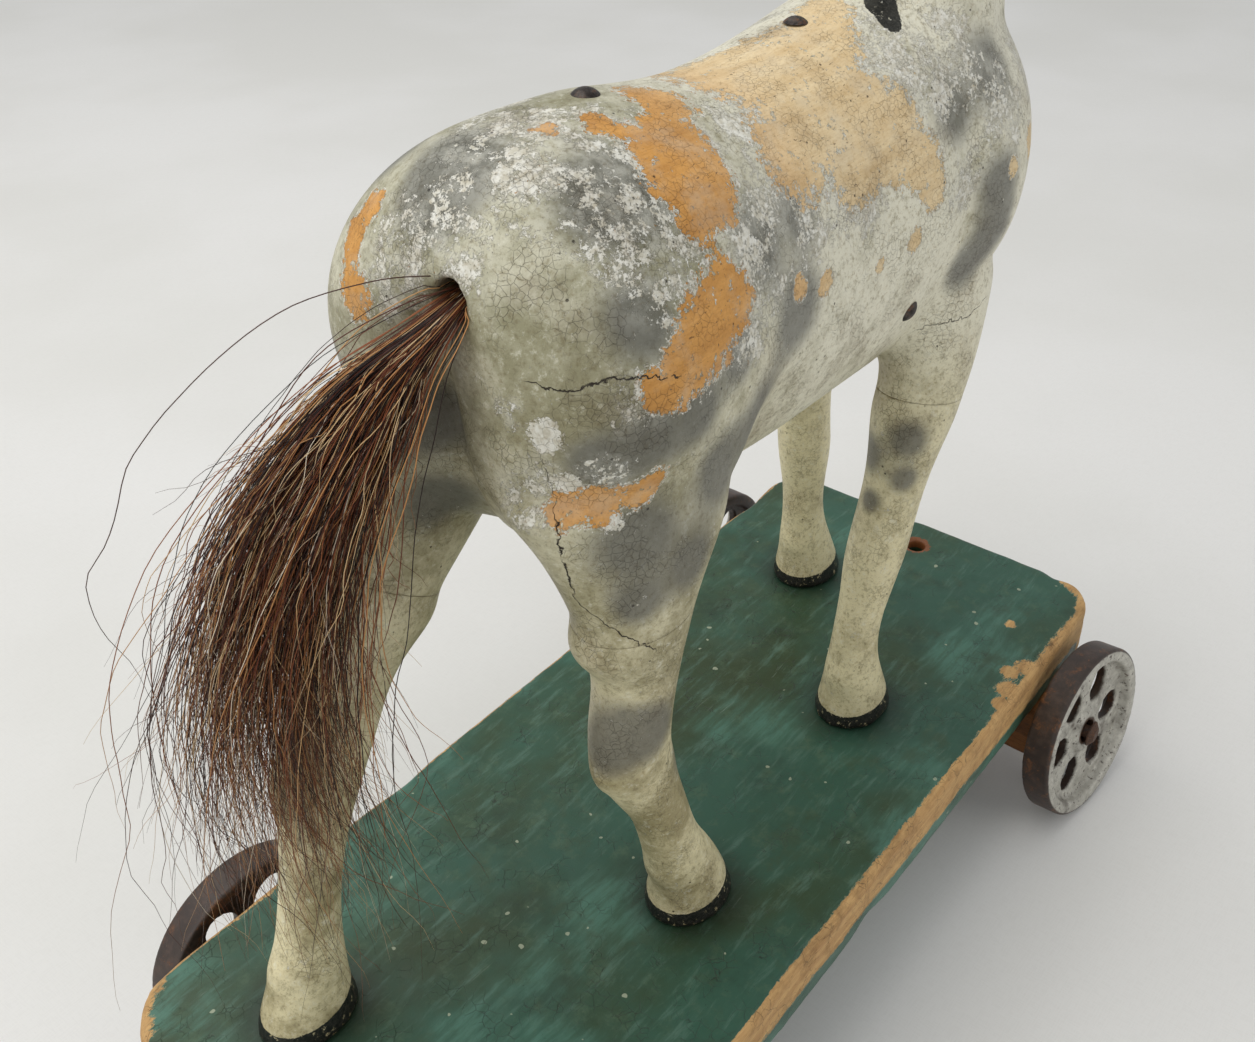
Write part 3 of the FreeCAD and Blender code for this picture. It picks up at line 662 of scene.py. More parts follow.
def new_group(name, inputs, outputs):
    """An empty node group. Inputs are (name, default), and the default's form says the kind of socket."""
    tree = bpy.data.node_groups.new(name, "ShaderNodeTree")
    for label, default in inputs:
        kind = "NodeSocketFloat"
        if isinstance(default, tuple):
            kind = "NodeSocketColor" if len(default) == 4 else "NodeSocketVector"
        socket = tree.interface.new_socket(label, in_out="INPUT", socket_type=kind)
        socket.default_value = default
    for label, kind in outputs:
        tree.interface.new_socket(label, in_out="OUTPUT", socket_type=kind)
    wires = Wiring(tree)
    return tree, wires, wires.node("NodeGroupInput").outputs, wires.node("NodeGroupOutput").inputs


FLOAT, COLOUR = "NodeSocketFloat", "NodeSocketColor"
ORIGIN = (0.0, 0.0, 0.0)

# %% [markdown]
# The shared effects come next. Each group takes a place on the piece and gives back masks, heights or colours
# that change over the surface. The shaders themselves stay in the materials.

# %% The shared effects
# Ragged wear: a soft map becomes a torn-edged one. The rim is a narrow band just outside the edge.
RAGGED, wires, given, out = new_group(
    "ragged_wear", (("Place", ORIGIN), ("Map", 0.0), ("Size", 8.0), ("Rag", 0.5), ("Rim Width", 0.1)),
    (("Inside", FLOAT), ("Rim", FLOAT), ("Field", FLOAT)))
gate = wires.times(wires.step(given["Map"], 0.02, 0.35), given["Rag"])
field = given["Map"]
for finer, share in ((1.0, 0.9), (0.24, 1.1), (0.07, 0.7)):
    waves = wires.noise(given["Place"], wires.times(given["Size"], finer), 5.0, 0.7)
    field = wires.times_plus(wires.times(wires.centred(waves), share), gate, field)
inside = wires.step(field, 0.5, 0.515)
wires.put(out["Inside"], inside)
low = wires.math("SUBTRACT", 0.5, given["Rim Width"])
reached = wires.step(field, low, wires.plus(low, 0.02))
wires.put(out["Rim"], wires.math("SUBTRACT", reached, inside))
wires.put(out["Field"], field)

# Speckle: tiny crisp flecks, from a few to nearly everywhere as the amount goes from 0 to 1.
SPECKLE, wires, given, out = new_group(
    "speckle", (("Place", ORIGIN), ("Size", 1.0), ("Amount", 0.0)), (("Flecks", FLOAT),))
grain = wires.noise(wires.shaken(given["Place"], 2.0, 0.5), given["Size"], 5.0, 0.75)
level = wires.times_plus(given["Amount"], -0.24, 0.68)
wires.put(out["Flecks"], wires.step(grain, level, wires.plus(level, 0.035)))

# Crazed paint: a net of hair cracks, broken where the noise is low.
CRAZE, wires, given, out = new_group(
    "crazed_paint", (("Place", ORIGIN), ("Size", 3.0), ("Width", 0.05), ("Amount", 0.5)),
    (("Cracks", FLOAT),))
crooked = wires.shaken(given["Place"], 1.8, 0.55)
net = wires.cells(crooked, given["Size"], "DISTANCE_TO_EDGE").outputs["Distance"]
line = wires.step(net, 0.0, wires.math("DIVIDE", given["Width"], given["Size"]), 1.0, 0.0)
gate = wires.left_of(given["Amount"])
patch = wires.step(wires.noise(given["Place"], 11.0, 3.0), wires.times_plus(gate, 0.5, 0.18),
                   wires.times_plus(gate, 0.5, 0.36))
wires.put(out["Cracks"], wires.times(line, patch))

# Wood: long soft bands, fine fibres and short dark pores, all drawn out along the grain.
WOOD, wires, given, out = new_group(
    "wood_grain", (("Place", ORIGIN), ("Stretch", (0.08, 1.0, 1.0)), ("Light", (0.57, 0.42, 0.23, 1)),
                   ("Dark", (0.42, 0.22, 0.067, 1)), ("Pores", 0.5)), (("Colour", COLOUR), ("Height", FLOAT)))
drawn = wires.vector("MULTIPLY", wires.shaken(given["Place"], 30.0, 1.2), given["Stretch"])
bands = wires.noise(drawn, 4.0, 4.0, 0.6, 0.4)
fibres = wires.noise(drawn, 0.45, 4.0, 0.7)
pores = wires.noise(wires.vector("MULTIPLY", drawn, (2.2, 1, 1)), 0.5, 2.0, 0.5)
colour = wires.mix(wires.step(bands, 0.25, 0.8, 0.1, 0.75), given["Light"], given["Dark"])
colour = wires.mix(wires.times(wires.step(fibres, 0.4, 0.7), 0.5), colour, given["Dark"])
pore = wires.times(wires.step(pores, 0.66, 0.74), given["Pores"])
wires.put(out["Colour"], wires.mix(pore, colour, (0.07, 0.03, 0.012)))
wires.put(out["Height"], wires.times_plus(pore, -0.7, fibres))

# Grime: dirt that sits in hollows and in a few cloudy patches.
GRIME, wires, given, out = new_group(
    "grime", (("Place", ORIGIN), ("Hollow", 0.5), ("Size", 18.0), ("Amount", 0.5)), (("Dirt", FLOAT),))
cloud = wires.step(wires.noise(given["Place"], given["Size"], 5.0, 0.65), 0.5, 0.78)
sunk = wires.step(given["Hollow"], 0.44, 0.5, 1.0, 0.0)
darkening = wires.most(cloud, wires.times(sunk, wires.step(
    wires.noise(given["Place"], 3.0, 4.0, 0.7), 0.3, 0.6)))
wires.put(out["Dirt"], wires.times(darkening, given["Amount"]))

# Rust: dark brown to orange scale with a rough height.
RUST, wires, given, out = new_group(
    "rust", (("Place", ORIGIN), ("Size", 4.0), ("Amount", 0.5)),
    (("Colour", COLOUR), ("Mask", FLOAT), ("Height", FLOAT)))
broad = wires.noise(given["Place"], given["Size"], 6.0, 0.7, 0.3)
fine = wires.noise(given["Place"], wires.times(given["Size"], 0.16), 4.0, 0.7)
colour = wires.mix(wires.step(fine, 0.3, 0.7), (0.022, 0.012, 0.008), (0.11, 0.045, 0.018))
wires.put(out["Colour"], wires.mix(wires.step(broad, 0.55, 0.8), colour, (0.21, 0.085, 0.028)))
level = wires.times_plus(given["Amount"], -0.5, 0.75)
wires.put(out["Mask"], wires.step(wires.times_plus(fine, 0.2, wires.math("SUBTRACT", broad, 0.1)), level,
                                  wires.plus(level, 0.09)))
wires.put(out["Height"], wires.times_plus(fine, 0.5, broad))
print("shared effects:", [tree.name for tree in bpy.data.node_groups])

# %% [markdown]
# The horse's paint is built in the order it was laid on and lost: cream oil paint, grey dapples, rubbed flecks of
# the white ground, bare wood with a broken rim, black hooves and mane, then cracks, pits, a century of dirt, and
# painted shade where other parts crowd close.

# %% The horse's paint
def new_material(name, roughness=0.5, specular=0.4):
    finish = bpy.data.materials.new(name)
    finish.use_nodes = True
    shader = finish.node_tree.nodes["Principled BSDF"]
    shader.inputs["Roughness"].default_value = roughness
    shader.inputs["Specular IOR Level"].default_value = specular
    return finish, Wiring(finish.node_tree), shader.inputs


def dress(piece, finish):
    """Give a piece one material, whatever slots it had."""
    piece.data.materials.clear()
    piece.data.materials.append(finish)


PAINTED_SHADE_REACH = 26 * MM  # painted shade darkens the paint where other parts are nearer than this


def make_horse_paint():
    finish, wires, skin = new_material("dappled_horse_paint", specular=0.35)
    place = wires.place()
    hollow = wires.hollow()
    split = wires.node("ShaderNodeSeparateXYZ")
    wires.put(split.inputs[0], place)
    high = wires.step(split.outputs["Z"], 110.0, 280.0)
    forward = wires.step(split.outputs["X"], -55.0, 10.0)
    clouds = wires.noise(place, 26.0, 5.0, 0.55)
    mottle = wires.noise(place, 5.0, 5.0, 0.65)
    fine = wires.noise(place, 0.9, 4.0, 0.7)

    # Old cream oil paint: greener on the rump, paler on the barrel, yellower where it has darkened low down.
    cream = wires.mix(high, (0.74, 0.665, 0.415), (0.58, 0.56, 0.425))
    barrel = wires.times(forward, wires.step(split.outputs["Z"], 172.0, 212.0, 0.0, 0.75))
    cream = wires.mix(barrel, cream, (0.80, 0.77, 0.63))
    olive = wires.mix(high, (0.37, 0.315, 0.165), (0.285, 0.27, 0.165))
    tone = wires.times_plus(forward, 0.13, wires.times_plus(mottle, 0.45, clouds))
    colour = wires.mix(wires.step(tone, 0.55, 0.88), olive, cream)
    stains = wires.noise(place, 2.6, 6.0, 0.8)
    colour = wires.mix(wires.step(stains, 0.5, 0.64, 0.0, 0.42), colour, (0.21, 0.185, 0.105))
    colour = wires.mix(wires.step(stains, 0.34, 0.46, 0.5, 0.0), colour, (0.76, 0.74, 0.61))
    soft_grey = wires.times_plus(wires.centred(clouds), 0.7, wires.map("grey"))
    grey = wires.step(wires.times_plus(wires.centred(mottle), 0.35, soft_grey), 0.12, 1.05)
    colour = wires.mix(wires.times(grey, 0.8), colour, (0.095, 0.096, 0.088))
    colour = wires.mix(wires.step(fine, 0.54, 0.74, 0.0, 0.4), colour, (0.15, 0.135, 0.085))
    haze = wires.times(wires.map("worn"), wires.step(mottle, 0.4, 0.65))
    colour = wires.mix(wires.times(haze, 0.5), colour, (0.62, 0.61, 0.53))

    # Rubbed paint: the white ground shows as salt-and-pepper flecks, denser towards a worn patch.
    worn = wires.group(RAGGED, Place=place, Map=wires.map("worn"), Size=16.0, Rag=1.5, Rim_Width=0.2)
    patchy = wires.step(wires.noise(place, 8.0, 5.0, 0.7), 0.34, 0.62)
    rubbed = wires.times(wires.step(worn.outputs["Field"], 0.0, 0.9), patchy)
    amount = wires.times_plus(rubbed, 1.0, 0.08)
    flecks = wires.group(SPECKLE, Place=place, Size=0.95, Amount=amount).outputs[0]
    smalls = wires.group(SPECKLE, Place=wires.vector("ADD", place, (7, 3, 9)), Size=0.42, Amount=wires.math(
        "MULTIPLY_ADD", rubbed, 0.7, 0.14)).outputs[0]
    chips = wires.group(SPECKLE, Place=wires.vector("ADD", place, (2, 5, 4)), Size=3.0, Amount=wires.math(
        "MULTIPLY_ADD", rubbed, 0.6, 0.10)).outputs[0]
    white = wires.most(wires.most(flecks, chips), wires.times(smalls, 0.75))
    flaked = wires.group(RAGGED, Place=place, Map=wires.map("flaked"), Size=5.0, Rag=1.6, Rim_Width=0.1)
    white = wires.most(white, flaked.outputs["Inside"])
    chalky = wires.step(wires.noise(place, 1.8, 4.0, 0.65), 0.35, 0.65)
    ground = wires.mix(chalky, (0.80, 0.79, 0.72), (0.58, 0.55, 0.45))
    colour = wires.mix(wires.times(white, 0.93), colour, ground)

    # Bare wood with a broken white rim, where paint and ground have both gone, and wood specks round about.
    bare = wires.group(RAGGED, Place=place, Map=wires.map("bare"), Size=11.0, Rag=1.9, Rim_Width=0.16)
    near_bare = wires.times_plus(wires.step(bare.outputs["Field"], 0.05, 0.6), 0.62,
                           wires.times(rubbed, 0.18))
    specks = wires.group(
        SPECKLE, Place=wires.vector("ADD", place, (3, 8, 5)), Size=2.0, Amount=near_bare).outputs[0]
    islands = wires.group(SPECKLE, Place=wires.vector("ADD", place, (9, 1, 2)), Size=1.6, Amount=wires.step(
        bare.outputs["Field"], 0.5, 0.85, 0.8, 0.12)).outputs[0]
    wood_mask = wires.most(bare.outputs["Inside"], wires.times(specks, wires.step(
        wires.plus(rubbed, wires.map("bare")), 0.05, 0.2)))
    wood_mask = wires.times(wood_mask, wires.left_of(wires.times(islands, 0.85)))
    paler = wires.step(split.outputs["X"], -42.0, 15.0)
    wood = wires.group(WOOD, Place=place, Stretch=(0.14, 1.0, 1.0), Pores=0.7,
                       Light=wires.mix(paler, (0.74, 0.385, 0.105), (0.86, 0.70, 0.44)),
                       Dark=wires.mix(paler, (0.45, 0.20, 0.042), (0.60, 0.42, 0.205)))
    thin = wires.step(wires.noise(place, 10.0, 5.0, 0.65), 0.45, 0.7, 0.0, 0.3)
    wood_colour = wires.mix(thin, wood.outputs["Colour"], (0.60, 0.55, 0.44))
    rim = wires.times(bare.outputs["Rim"], wires.step(wires.noise(place, 2.4, 4.0, 0.7), 0.40, 0.50))
    colour = wires.mix(rim, colour, ground)
    colour = wires.mix(wood_mask, colour, wood_colour)

    # Black: the hooves and one lock of the painted mane, chipped to the white ground.
    black = wires.group(RAGGED, Place=place, Map=wires.map("black"), Size=3.0, Rag=0.45, Rim_Width=0.1)
    chips = wires.group(SPECKLE, Place=place, Size=1.9, Amount=0.34).outputs[0]
    black_mask = wires.times(black.outputs["Inside"], wires.left_of(chips))
    black_colour = wires.mix(wires.step(fine, 0.4, 0.75), (0.010, 0.011, 0.009), (0.045, 0.043, 0.036))
    colour = wires.mix(black_mask, colour, black_colour)

    # Hair cracks, real cracks, pits, dirt, and painted shade where other parts are near.
    craze = wires.group(CRAZE, Place=place, Size=1.7, Width=0.07, Amount=0.5).outputs[0]
    crooked = wires.times_plus(wires.centred(wires.noise(place, 2.2, 5.0, 0.65)), 3.4,
                         wires.map("crack"))
    gap = wires.step(wires.math("ABSOLUTE", crooked), 0.08, 0.34, 1.0, 0.0)
    gap = wires.times(gap, wires.times(wires.map("crack_near"), wires.step(
        wires.noise(place, 6.0, 2.0), 0.34, 0.46)))
    pits = wires.cells(place, 3.2)
    chosen = wires.step(wires.pick(pits), 0.80, 0.82)
    pit = wires.times(wires.step(pits.outputs["Distance"], 0.05, 0.12, 1.0, 0.0), chosen)
    darkening = wires.group(GRIME, Place=place, Hollow=hollow, Size=22.0, Amount=0.5).outputs[0]
    # Painted shade: an occlusion node darkens the paint where other parts are near, such as between the legs and
    # in the tail's cleft.
    shade_probe = wires.node("ShaderNodeAmbientOcclusion")
    shade_probe.inputs["Distance"].default_value = PAINTED_SHADE_REACH
    shaded_share = wires.step(shade_probe.outputs["AO"], 0.35, 0.95, 1.0, 0.0)
    painted_shade = wires.times(shaded_share, wires.step(wires.noise(place, 4.0, 6.0, 0.75), 0.25, 0.6, 0.45, 0.95))
    darkening = wires.most(darkening, wires.times(painted_shade, 0.85))
    brown = wires.times(wires.step(wires.noise(place, 1.3, 5.0, 0.75), 0.5, 0.68), 0.42)
    colour = wires.mix(brown, colour, wires.mix(1.0, colour, (0.62, 0.52, 0.36), "MULTIPLY"))
    colour = wires.mix(darkening, colour, wires.mix(1.0, colour, (0.30, 0.22, 0.125), "MULTIPLY"))
    colour = wires.mix(wires.times(craze, 0.17), colour, (0.075, 0.055, 0.03))
    dark_lines = wires.most(gap, wires.times(pit, 0.8))
    wires.put(skin["Base Color"], wires.mix(dark_lines, colour, (0.022, 0.014, 0.008)))

    # Paint stands proud of its ground, and the ground of the wood. Cracks and pits cut in.
    paint_left = wires.left_of(wires.times(white, 0.5))
    layer = wires.times(paint_left, wires.left_of(wood_mask))
    layer = wires.times_plus(mottle, 0.35, layer)
    cut = wires.most(dark_lines, wires.times(craze, 0.35))
    layer = wires.times_plus(cut, -1.6, layer)
    normal = wires.bump(wires.times_plus(fine, 0.22, layer), 0.24, 1.0)
    wires.put(skin["Normal"], normal)
    rough = wires.times_plus(wires.most(wood_mask, white), 0.22, 0.38)
    rough = wires.times_plus(mottle, 0.14, rough)
    wires.put(skin["Roughness"], wires.times_plus(black_mask, -0.14, rough))
    return finish


HORSE_PAINT = make_horse_paint()
for piece in carved.values():
    dress(piece, HORSE_PAINT)
print("horse paint:", len(HORSE_PAINT.node_tree.nodes), "nodes on", len(carved), "pieces")

# %% [markdown]
# The board was one plank with rounded corners, painted green. Feet, hands and carpets have rubbed its edges
# through to the wood. A remeshed copy of the CAD board gives enough points to round and dent its edges, and maps
# on those points say where the wood shows, where rust from the cord's nail has stained it, and where it is darker
# round the feet.

# %% The worn board
BOARD_VOXEL = 1.25 * MM
BOARD_TOP, BOARD_MIDDLE, BOARD_HALF_WIDTH, BOARD_HALF_LENGTH = 65.0, 53.75, 68.5, 165.8
CORNER_X, CORNER_Y = 150, 53  # where the round corners start
CORD_HOLE_X, STAIN_REACH, FOOT_DARK_REACH = 150.2, 5.2, 17
SIDE_DEPTH = 2.2  # points nearer than this to a long side belong to its face
DENTS = (  # x, y, z, reach and depth of knocks in the board's edges
    (166, -52, 65, 5, 1.8), (163, -66, 60, 6, 1.5), (120, -69, 65, 5, 1.4), (88, -69, 65, 7, 1.2),
    (30, -69, 65, 6, 1.1), (-40, -69, 65, 8, 1.3), (-96, -69, 64, 6, 1.6), (-160, 62, 64, 7, 2.4),
    (-166, 30, 65, 5, 1.4), (-60, 69, 65, 6, 1.2), (40, 69, 65, 5, 1.0), (134, 69, 64, 6, 1.3),
    (0, -69, 43, 6, 1.2), (90, 69, 43, 6, 1.4), (-120, -69, 43, 7, 1.2), (166, 10, 65, 4, 1.0),
)


BOARD_CHIPS = ((96, -64, 65, 4), (104, -61, 65, 3), (110, -65, 65, 4), (88, -66, 65, 3), (128, -50, 65, 2))


def smooth_noise(points, size, seed):
    """Gentle noise from -1 to 1 on many points: a few plane waves with random directions."""
    dice = np.random.default_rng(seed)
    total = np.zeros(len(points))
    for _ in range(9):
        direction = dice.normal(size=3)
        wave = direction / np.linalg.norm(direction) * dice.uniform(0.6, 1.6) * 2 * np.pi / (size * MM)
        total += np.sin(points @ wave + dice.uniform(0, 2 * np.pi))
    return total / 4.5


def worn_copy(name, node, voxel, seed, rounding=3, roughness=0.25):
    """A remeshed copy of a CAD node with softened edges and a slightly uneven skin, kept inside the original."""
    piece = skin_of_nodes(name, (node,), voxel, 0)
    relax(piece.data, rounding)
    points, normals = point_array(piece.data), normal_array(piece.data)
    uneven = smooth_noise(points, 14, seed) * 0.6 + smooth_noise(points, 5, seed + 1) * 0.4
    write_points(piece.data, points + normals * ((uneven - 1) * 0.5 * roughness * MM)[:, None])
    piece.data.polygons.foreach_set("use_smooth", [True] * len(piece.data.polygons))
    return piece


board = worn_copy("board_worn", "platform_board", BOARD_VOXEL, 11, rounding=4, roughness=0.3)
points, normals = point_array(board.data), normal_array(board.data)
for x, y, z, reach, depth in DENTS:
    inward = np.array((-x if abs(x) > 160 else 0, -y if abs(y) > 50 else 0, BOARD_MIDDLE - z), float)
    inward /= np.linalg.norm(inward)
    knock = near(points, (x, y, z), (reach * 1.6, reach, reach * 0.8))[:, None]
    points = points + inward * depth * MM * knock
write_points(board.data, points)
x, y, z = (points / MM).T
edge_wave = smooth_noise(points * (0.35, 1, 1), 16, 3)
to_right, to_left = BOARD_HALF_WIDTH + y, BOARD_HALF_WIDTH - y
to_front, to_back, below = BOARD_HALF_LENGTH - x, BOARD_HALF_LENGTH + x, BOARD_TOP - z
right_front = np.where((x > CORNER_X) & (y < -CORNER_Y), np.hypot(x - CORNER_X, y + CORNER_Y), 0)
left_back = np.where((x < -CORNER_X) & (y > CORNER_Y), np.hypot(x + CORNER_X, y - CORNER_Y), 0)


def band(distance, width):
    """1 on an edge, 0.5 at the width and 0 well inside."""
    return np.clip(1.5 - np.maximum(distance, 0) / np.maximum(width, 0.4), 0, 1)


right_face = np.where(to_right < SIDE_DEPTH, np.clip((z - 49.5) / 4, 0, 1), 0)
left_face = np.where(to_left < SIDE_DEPTH, np.clip((z - 56) / 8, 0, 1) * 0.62, 0)
bare = np.maximum.reduce([
    right_face, left_face, band(to_right, 2.7 + 1.6 * edge_wave) * (below < 4),
    band(to_left, 1.6 + 1.1 * edge_wave) * (below < 3),
    band(to_front, 0.8 + 0.9 * edge_wave) * (below < 3) * 0.8,
    band(to_back, 1.0 + edge_wave) * (below < 3) * 0.8,
    np.clip((right_front - 9.5) / 4, 0, 1), np.clip((left_back - 9) / 5, 0, 1),
    patches(points, BOARD_CHIPS),
])
feet = np.min([np.hypot(x - fx, y - fy) for fx, fy in HOOF_PLACES], axis=0)
paint(board.data, "bare", bare)
paint(board.data, "stained", np.clip(1.5 - np.hypot(x - CORD_HOLE_X, y) / STAIN_REACH, 0, 1) * (below < 4))
# Darker round each foot, where the legs stand on the board.
paint(board.data, "darker_round_feet", np.clip(1.6 - feet / FOOT_DARK_REACH, 0, 1) * (below < 3))
paint(board.data, "shade_map", np.clip(0.5 + 0.5 * smooth_noise(points * (0.6, 1, 1), 70, 8), 0, 1))
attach(board, "platform")
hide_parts("platform_board")
print("board:", len(board.data.polygons), "faces; bare share", round(float(bare.mean()), 2))

# %% [markdown]
# The wheels are iron castings, silvered once, with six oval windows. Their faces are rubbed pale and their treads
# are dark. A finer copy of each CAD wheel gets the soft edges and slight waves of a sand casting.

# %% Cast wheels and worn blocks
WHEEL_VOXEL, BLOCK_VOXEL = 0.55 * MM, 1.1 * MM
WHEEL_RADIUS, HUB_RADIUS, TREAD_DEPTH = 32.0, 7.0, 1.6
wheels = {}
WHEEL_NODES = ("wheel_front_left", "wheel_front_right", "wheel_rear_left", "wheel_rear_right")
for number, node in enumerate(WHEEL_NODES):
    wheel = worn_copy(node + "_cast", node, WHEEL_VOXEL, 30 + number, rounding=4, roughness=0.12)
    body = next(name for name, row in frame["bodies"].items() if name.startswith(node))
    low, high = (np.array(corner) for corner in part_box(node))
    points = point_array(wheel.data)
    centre = (low + high) / 2
    flat = points - centre
    spread = np.linalg.eigh(flat.T @ flat)[1][:, 0]
    across = flat @ spread
    outwards = across * np.sign(spread[1]) * np.sign(centre[1]) / MM
    from_axle = np.linalg.norm(flat - across[:, None] * spread, axis=1) / MM
    paint(wheel.data, "tread", np.clip((from_axle - WHEEL_RADIUS + TREAD_DEPTH) / 1.2, 0, 1))
    paint(wheel.data, "hub", np.clip((HUB_RADIUS - from_axle) / 3.0, 0, 1))
    paint(wheel.data, "outer", np.clip(outwards / 3.0 + 0.3, 0, 1))
    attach(wheel, body)
    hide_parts(node)
    wheels[node] = wheel
blocks = []
for node in ("front_axle_block", "rear_axle_block"):
    block = worn_copy(node + "_worn", node, BLOCK_VOXEL, 50 + len(blocks), rounding=3, roughness=0.3)
    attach(block, "platform")
    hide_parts(node)
    blocks.append(block)
print("wheels:", {name: len(piece.data.polygons) for name, piece in wheels.items()})

# %% [markdown]
# Each ear is a leaf of leather, cupped like a spoon and bent a little forward at its tip. It is built row by row
# along its length, then given its thickness and one round of subdivision, which rounds the cut edge.

# %% Leather ears
EAR_BASE, EAR_WAY, EAR_LENGTH = (107.0, 8.5, 371.5), (-0.12, 0.22, 1.0), 24.0
EAR_WIDTH, EAR_CUP, EAR_BEND, EAR_THICK, EAR_ROWS, EAR_COLUMNS = 5.4, 3.4, 2.0, 0.9, 15, 9


def leather_ear(name, side):
    base = np.array(EAR_BASE) * (1, side, 1)
    up = np.array(EAR_WAY) * (1, side, 1)
    up /= np.linalg.norm(up)
    front = np.array((0.9, side * 0.42, 0.0))
    front -= up * (front @ up)
    front /= np.linalg.norm(front)
    across = np.cross(up, front)
    rows = []
    for t in np.linspace(0, 1, EAR_ROWS):
        wide = EAR_WIDTH * (0.62 + 0.75 * t) * max(1 - t ** 2.6, 0.02) ** 0.8
        cup = EAR_CUP * (1 - 0.75 * t)
        for u in np.linspace(-1, 1, EAR_COLUMNS):
            lean = EAR_BEND * t ** 2 + 0.35 * math.sin(7 * t + 3 * u)
            rows.append(base + up * EAR_LENGTH * t + across * wide * u + front * (lean - cup * (1 - u * u)))
    starts = [row * EAR_COLUMNS + column for row in range(EAR_ROWS - 1) for column in range(EAR_COLUMNS - 1)]
    faces = [(at, at + 1, at + EAR_COLUMNS + 1, at + EAR_COLUMNS) for at in starts]
    ear = mesh_from(name, [row * MM for row in rows], faces)
    thick = ear.modifiers.new("thick", "SOLIDIFY")
    thick.thickness, thick.offset = EAR_THICK * MM, 0
    fine = ear.modifiers.new("fine", "SUBSURF")
    fine.levels = fine.render_levels = 2
    apply_modifiers(ear)
    ear.data.polygons.foreach_set("use_smooth", [True] * len(ear.data.polygons))
    return ear


ears = []
for side, word in ((1, "left"), (-1, "right")):
    ear = leather_ear(f"ear_{word}_leather", side)
    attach(ear, "platform")
    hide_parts(f"ear_{word}")
    ears.append(ear)
print("ears:", [len(ear.data.polygons) for ear in ears])

# %% [markdown]
# The tail is a bunch of real horse hair, wedged in its hole by a plug. A soft fur shader would not give crossing,
# kinked strands, so every hair is a thin tube. All hairs leave the hole together and follow one hanging centre
# line. Each belongs to a lock, which pulls it sideways more and more on its way down, and each has its own
# crossing, kink, length and colour. A few strays fly off in wide arcs.

# %% Hair by hair
TAIL_LINE = (  # place of the bunch's centre, half width across and half depth, in millimetres
    ((-80, -7.5, 266.4), 2.2, 2.2), ((-86, -7, 264), 2.6, 2.4), ((-93, -6, 260.5), 4.6, 3.0),
    ((-102, -2, 253.5), 8.5, 4.2), ((-111, 2.5, 241), 12.5, 6.5), ((-120, 7, 226), 15.5, 8),
    ((-127, 10, 209), 17.5, 9), ((-132, 12, 192), 19, 10), ((-135, 13, 175), 20, 11), ((-136, 13, 157), 20.5, 12),
    ((-135, 13, 139), 21, 12), ((-133, 12, 121), 20, 12), ((-131, 12, 103), 18, 11),
)
TAIL_ACROSS = np.array((0.63, -0.78, 0.0))
TAIL_PIECES = (  # name, hairs, how wide the bunch is, its usual length and how much that varies
    ("tail_core", 610, 0.70, 0.57, 0.15), ("tail_left", 285, 1.0, 0.69, 0.15),
    ("tail_right", 310, 0.95, 0.72, 0.15), ("tail_front", 330, 0.95, 0.66, 0.17),
    ("tail_strays", 65, 1.1, 0.86, 0.12),
)
HAIR_STEPS, HAIR_RADIUS, HAIR_GAP, LOCKS, TAIL_SEED = 48, 0.115, 0.35, 30, 21
LOCK_START, LOCK_PULL = 0.18, 0.78  # where the locks start to form along the hair, and how tight they get


def spline(rows, shares):
    """Smooth values between rows of a table, by a Catmull-Rom curve."""
    rows = np.asarray(rows, float)
    padded = np.vstack([2 * rows[0] - rows[1], rows, 2 * rows[-1] - rows[-2]])
    at = np.clip(shares, 0, 1) * (len(rows) - 1)
    first = np.minimum(at.astype(int), len(rows) - 2)
    t = (at - first)[:, None]
    a, b, c, d = (padded[first + k] for k in range(4))
    return 0.5 * (2 * b + (c - a) * t + (2 * a - 5 * b + 4 * c - d) * t ** 2 + (3 * b - a - 3 * c + d) * t ** 3)


def tubes(name, paths, radii, shades, sides=3):
    """One mesh of thin tubes along many paths of equal length, each with its own shade."""
    count, steps = paths.shape[:2]
    along = np.gradient(paths, axis=1)
    along /= np.linalg.norm(along, axis=2, keepdims=True) + 1e-12
    first = np.cross(along, (0.31, 0.9, 0.3))
    first /= np.linalg.norm(first, axis=2, keepdims=True)
    second = np.cross(along, first)
    thick = radii[:, None] * np.interp(np.linspace(0, 1, steps), (0, 0.75, 1), (1, 0.9, 0.25))[None]
    angles = np.arange(sides) * 2 * np.pi / sides
    ring = [paths + thick[..., None] * (np.cos(a) * first + np.sin(a) * second) for a in angles]
    points = np.stack(ring, axis=2).reshape(-1, 3)
    start = (np.arange(count)[:, None] * steps + np.arange(steps - 1)[None]).reshape(-1) * sides
    faces = []
    for k in range(sides):
        beside = (k + 1) % sides
        faces.append(np.stack([start + k, start + beside, start + sides + beside, start + sides + k], 1))
    caps = [np.stack([np.arange(count) * steps * sides + k for k in reversed(range(sides))], 1),
            np.stack([(np.arange(count) * steps + steps - 1) * sides + k for k in range(sides)], 1)]
    mesh = bpy.data.meshes.new(name)
    mesh.from_pydata(points * MM, [], np.concatenate(faces).tolist() + np.concatenate(caps).tolist())
    mesh.polygons.foreach_set("use_smooth", [True] * len(mesh.polygons))
    paint(mesh, "shade", np.repeat(shades, steps * sides))
    paint(mesh, "along", np.tile(np.repeat(np.linspace(0, 1, steps), sides), count))
    return new_object(name, mesh)


def kinks(dice, count, steps, turns):
    """Smooth random wiggles for many hairs, along their length."""
    knots = dice.normal(0, 1, (count, turns + 3))
    at = np.linspace(0, turns, steps)
    low = at.astype(int)
    t = at - low
    t = t * t * (3 - 2 * t)
    return knots[:, low] * (1 - t) + knots[:, low + 1] * t


